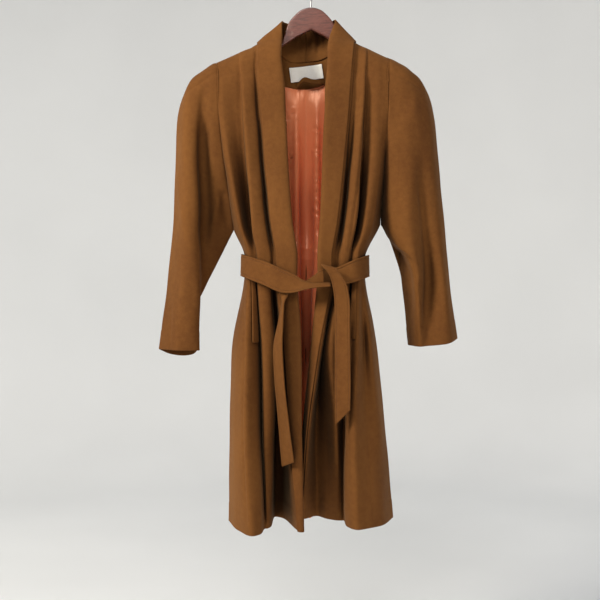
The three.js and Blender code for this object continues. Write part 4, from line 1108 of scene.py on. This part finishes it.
# The upper edge and the tips are smooth. The lower edge is made of straight cuts that meet in a peak.
smooth_half = np.array(ARM_TOP + ARM_TIP + ARM_UNDER[:1], float)
smooth_part = np.vstack([smooth_half[::-1] * (-1, 1), smooth_half[1:]])
smooth_part = spline(np.c_[smooth_part, np.zeros(len(smooth_part))], steps([5] * (len(smooth_part) - 1)))
straight = np.array(ARM_UNDER[1:] + [(-x, z) for x, z in ARM_UNDER[-2:0:-1]], float)
dense = np.vstack([smooth_part[:, :2], straight])
line = curve.splines.new("POLY")
line.points.add(len(dense) - 1)
line.points.foreach_set("co", np.c_[dense[:, :2] * MM, np.zeros(len(dense)), np.ones(len(dense))].ravel())
line.use_cyclic_u = True
curve.extrude = (HANGER_THICKNESS / 2 - EDGE_ROUND) * MM
curve.bevel_depth = EDGE_ROUND * MM
curve.offset = -EDGE_ROUND * MM
curve.bevel_resolution = 4
maker = placed("hanger_maker", curve)
bpy.context.view_layer.update()
mesh = bpy.data.meshes.new_from_object(maker.evaluated_get(bpy.context.evaluated_depsgraph_get()))
bpy.data.objects.remove(maker)
lying = np.zeros(len(mesh.vertices) * 3)
mesh.vertices.foreach_get("co", lying)
lying = lying.reshape(-1, 3)
standing = np.c_[lying[:, 0], -lying[:, 2] + HANGER_FORWARD * MM, lying[:, 1]]
mesh.vertices.foreach_set("co", standing.ravel())
mesh.update()
hanger = placed("hanger_wood", mesh)
hanger.data.materials.clear()
keep(hanger, "hanger_body", "lacquer")
mesh.polygons.foreach_set("use_smooth", np.ones(len(mesh.polygons), bool))

WIRE = 1.7
BEND = 20
hook_path = [(0, 0, -64), (0, 0, -56), (0, 0, -50), (0, 0, -46), (9, 0, -35)]
hook_path += [(BEND * math.cos(math.radians(a)), 0, WIRE - BEND + BEND * math.sin(math.radians(a)))
              for a in range(-25, 206, 23)]
path = spline(np.array(hook_path, float), steps([6] * (len(hook_path) - 1)))
tangent = unit(np.gradient(path, axis=0))
side = np.cross(tangent, [0, 1, 0])
place = np.arange(len(path))
round_end = np.sqrt(1 - (1 - np.minimum((place[::-1] + 0.15) / 2, 1)) ** 2)
fat = WIRE * np.where(place > len(path) / 2, round_end, 1)
turns = np.radians(np.arange(0, 360, 30))
tube = (path[:, None] + fat[:, None, None] * (np.cos(turns)[None, :, None] * side[:, None]
        + np.sin(turns)[None, :, None] * np.array([0, 1, 0])))
hook = make_mesh("hook_wire", tube.reshape(-1, 3), ring_faces(*tube.shape[:2]))
keep(hook, "hanger_hook", "steel")

# ---- floor, light and camera ----

FLOOR_Z = -1.62
BOWL = [(0.0, 0.0), (2.3, 0.0), (2.6, 0.05), (2.9, 0.2), (3.1, 0.45), (3.2, 0.8), (3.2, 4.6)]
profile = spline(np.c_[np.array(BOWL), np.zeros(len(BOWL))], steps([2, 6, 6, 6, 6, 4]))
turns = np.linspace(0, 2 * math.pi, 97)[:-1]
bowl = np.stack([profile[:, None, 0] * np.cos(turns), profile[:, None, 0] * np.sin(turns),
                 np.broadcast_to(FLOOR_Z + profile[:, None, 1], (len(profile), len(turns)))], axis=-1)
floor = make_mesh("floor", bowl.reshape(-1, 3) / MM, ring_faces(*bowl.shape[:2]))
floor.data.materials.append(materials["floor"])

world = bpy.data.worlds.new("pale_room")
world.use_nodes = True
sky = world.node_tree.nodes["Background"]
sky.inputs["Color"].default_value = (0.9, 0.93, 1.0, 1)
sky.inputs["Strength"].default_value = 0.22
bpy.context.scene.world = world


def lamp(name, place, target, size, power, colour):
    light = bpy.data.lights.new(name, "AREA")
    light.shape = "DISK"
    light.size = size
    light.energy = power
    light.color = colour
    obj = placed(name, light)
    obj.location = place
    obj.rotation_euler = Vector(np.subtract(target, place)).to_track_quat("-Z", "Y").to_euler()


lamp("key", (-2.35, -1.65, 0.85), (0, 0, -0.6), 0.9, 104, (1.0, 0.93, 0.8))
lamp("top", (-0.5, -2.3, 1.5), (0, 0, -0.5), 1.2, 40, (1.0, 0.96, 0.92))
lamp("behind", (1.2, 2.0, 0.8), (0, 0, -0.6), 1.6, 8, (1.0, 1.0, 1.0))
lamp("low", (1.1, -1.9, -1.25), (0.05, 0, -0.95), 1.0, 10, (1.0, 0.9, 0.82))

camera = placed("camera", bpy.data.cameras.new("camera"))
camera.data.lens = 51.8
camera.data.sensor_width = 36
camera.location = (-0.0242, -1.9, -0.704)
camera.rotation_euler = (math.pi / 2, 0, 0)
bpy.context.scene.camera = camera
bpy.context.scene.view_settings.view_transform = "Standard"
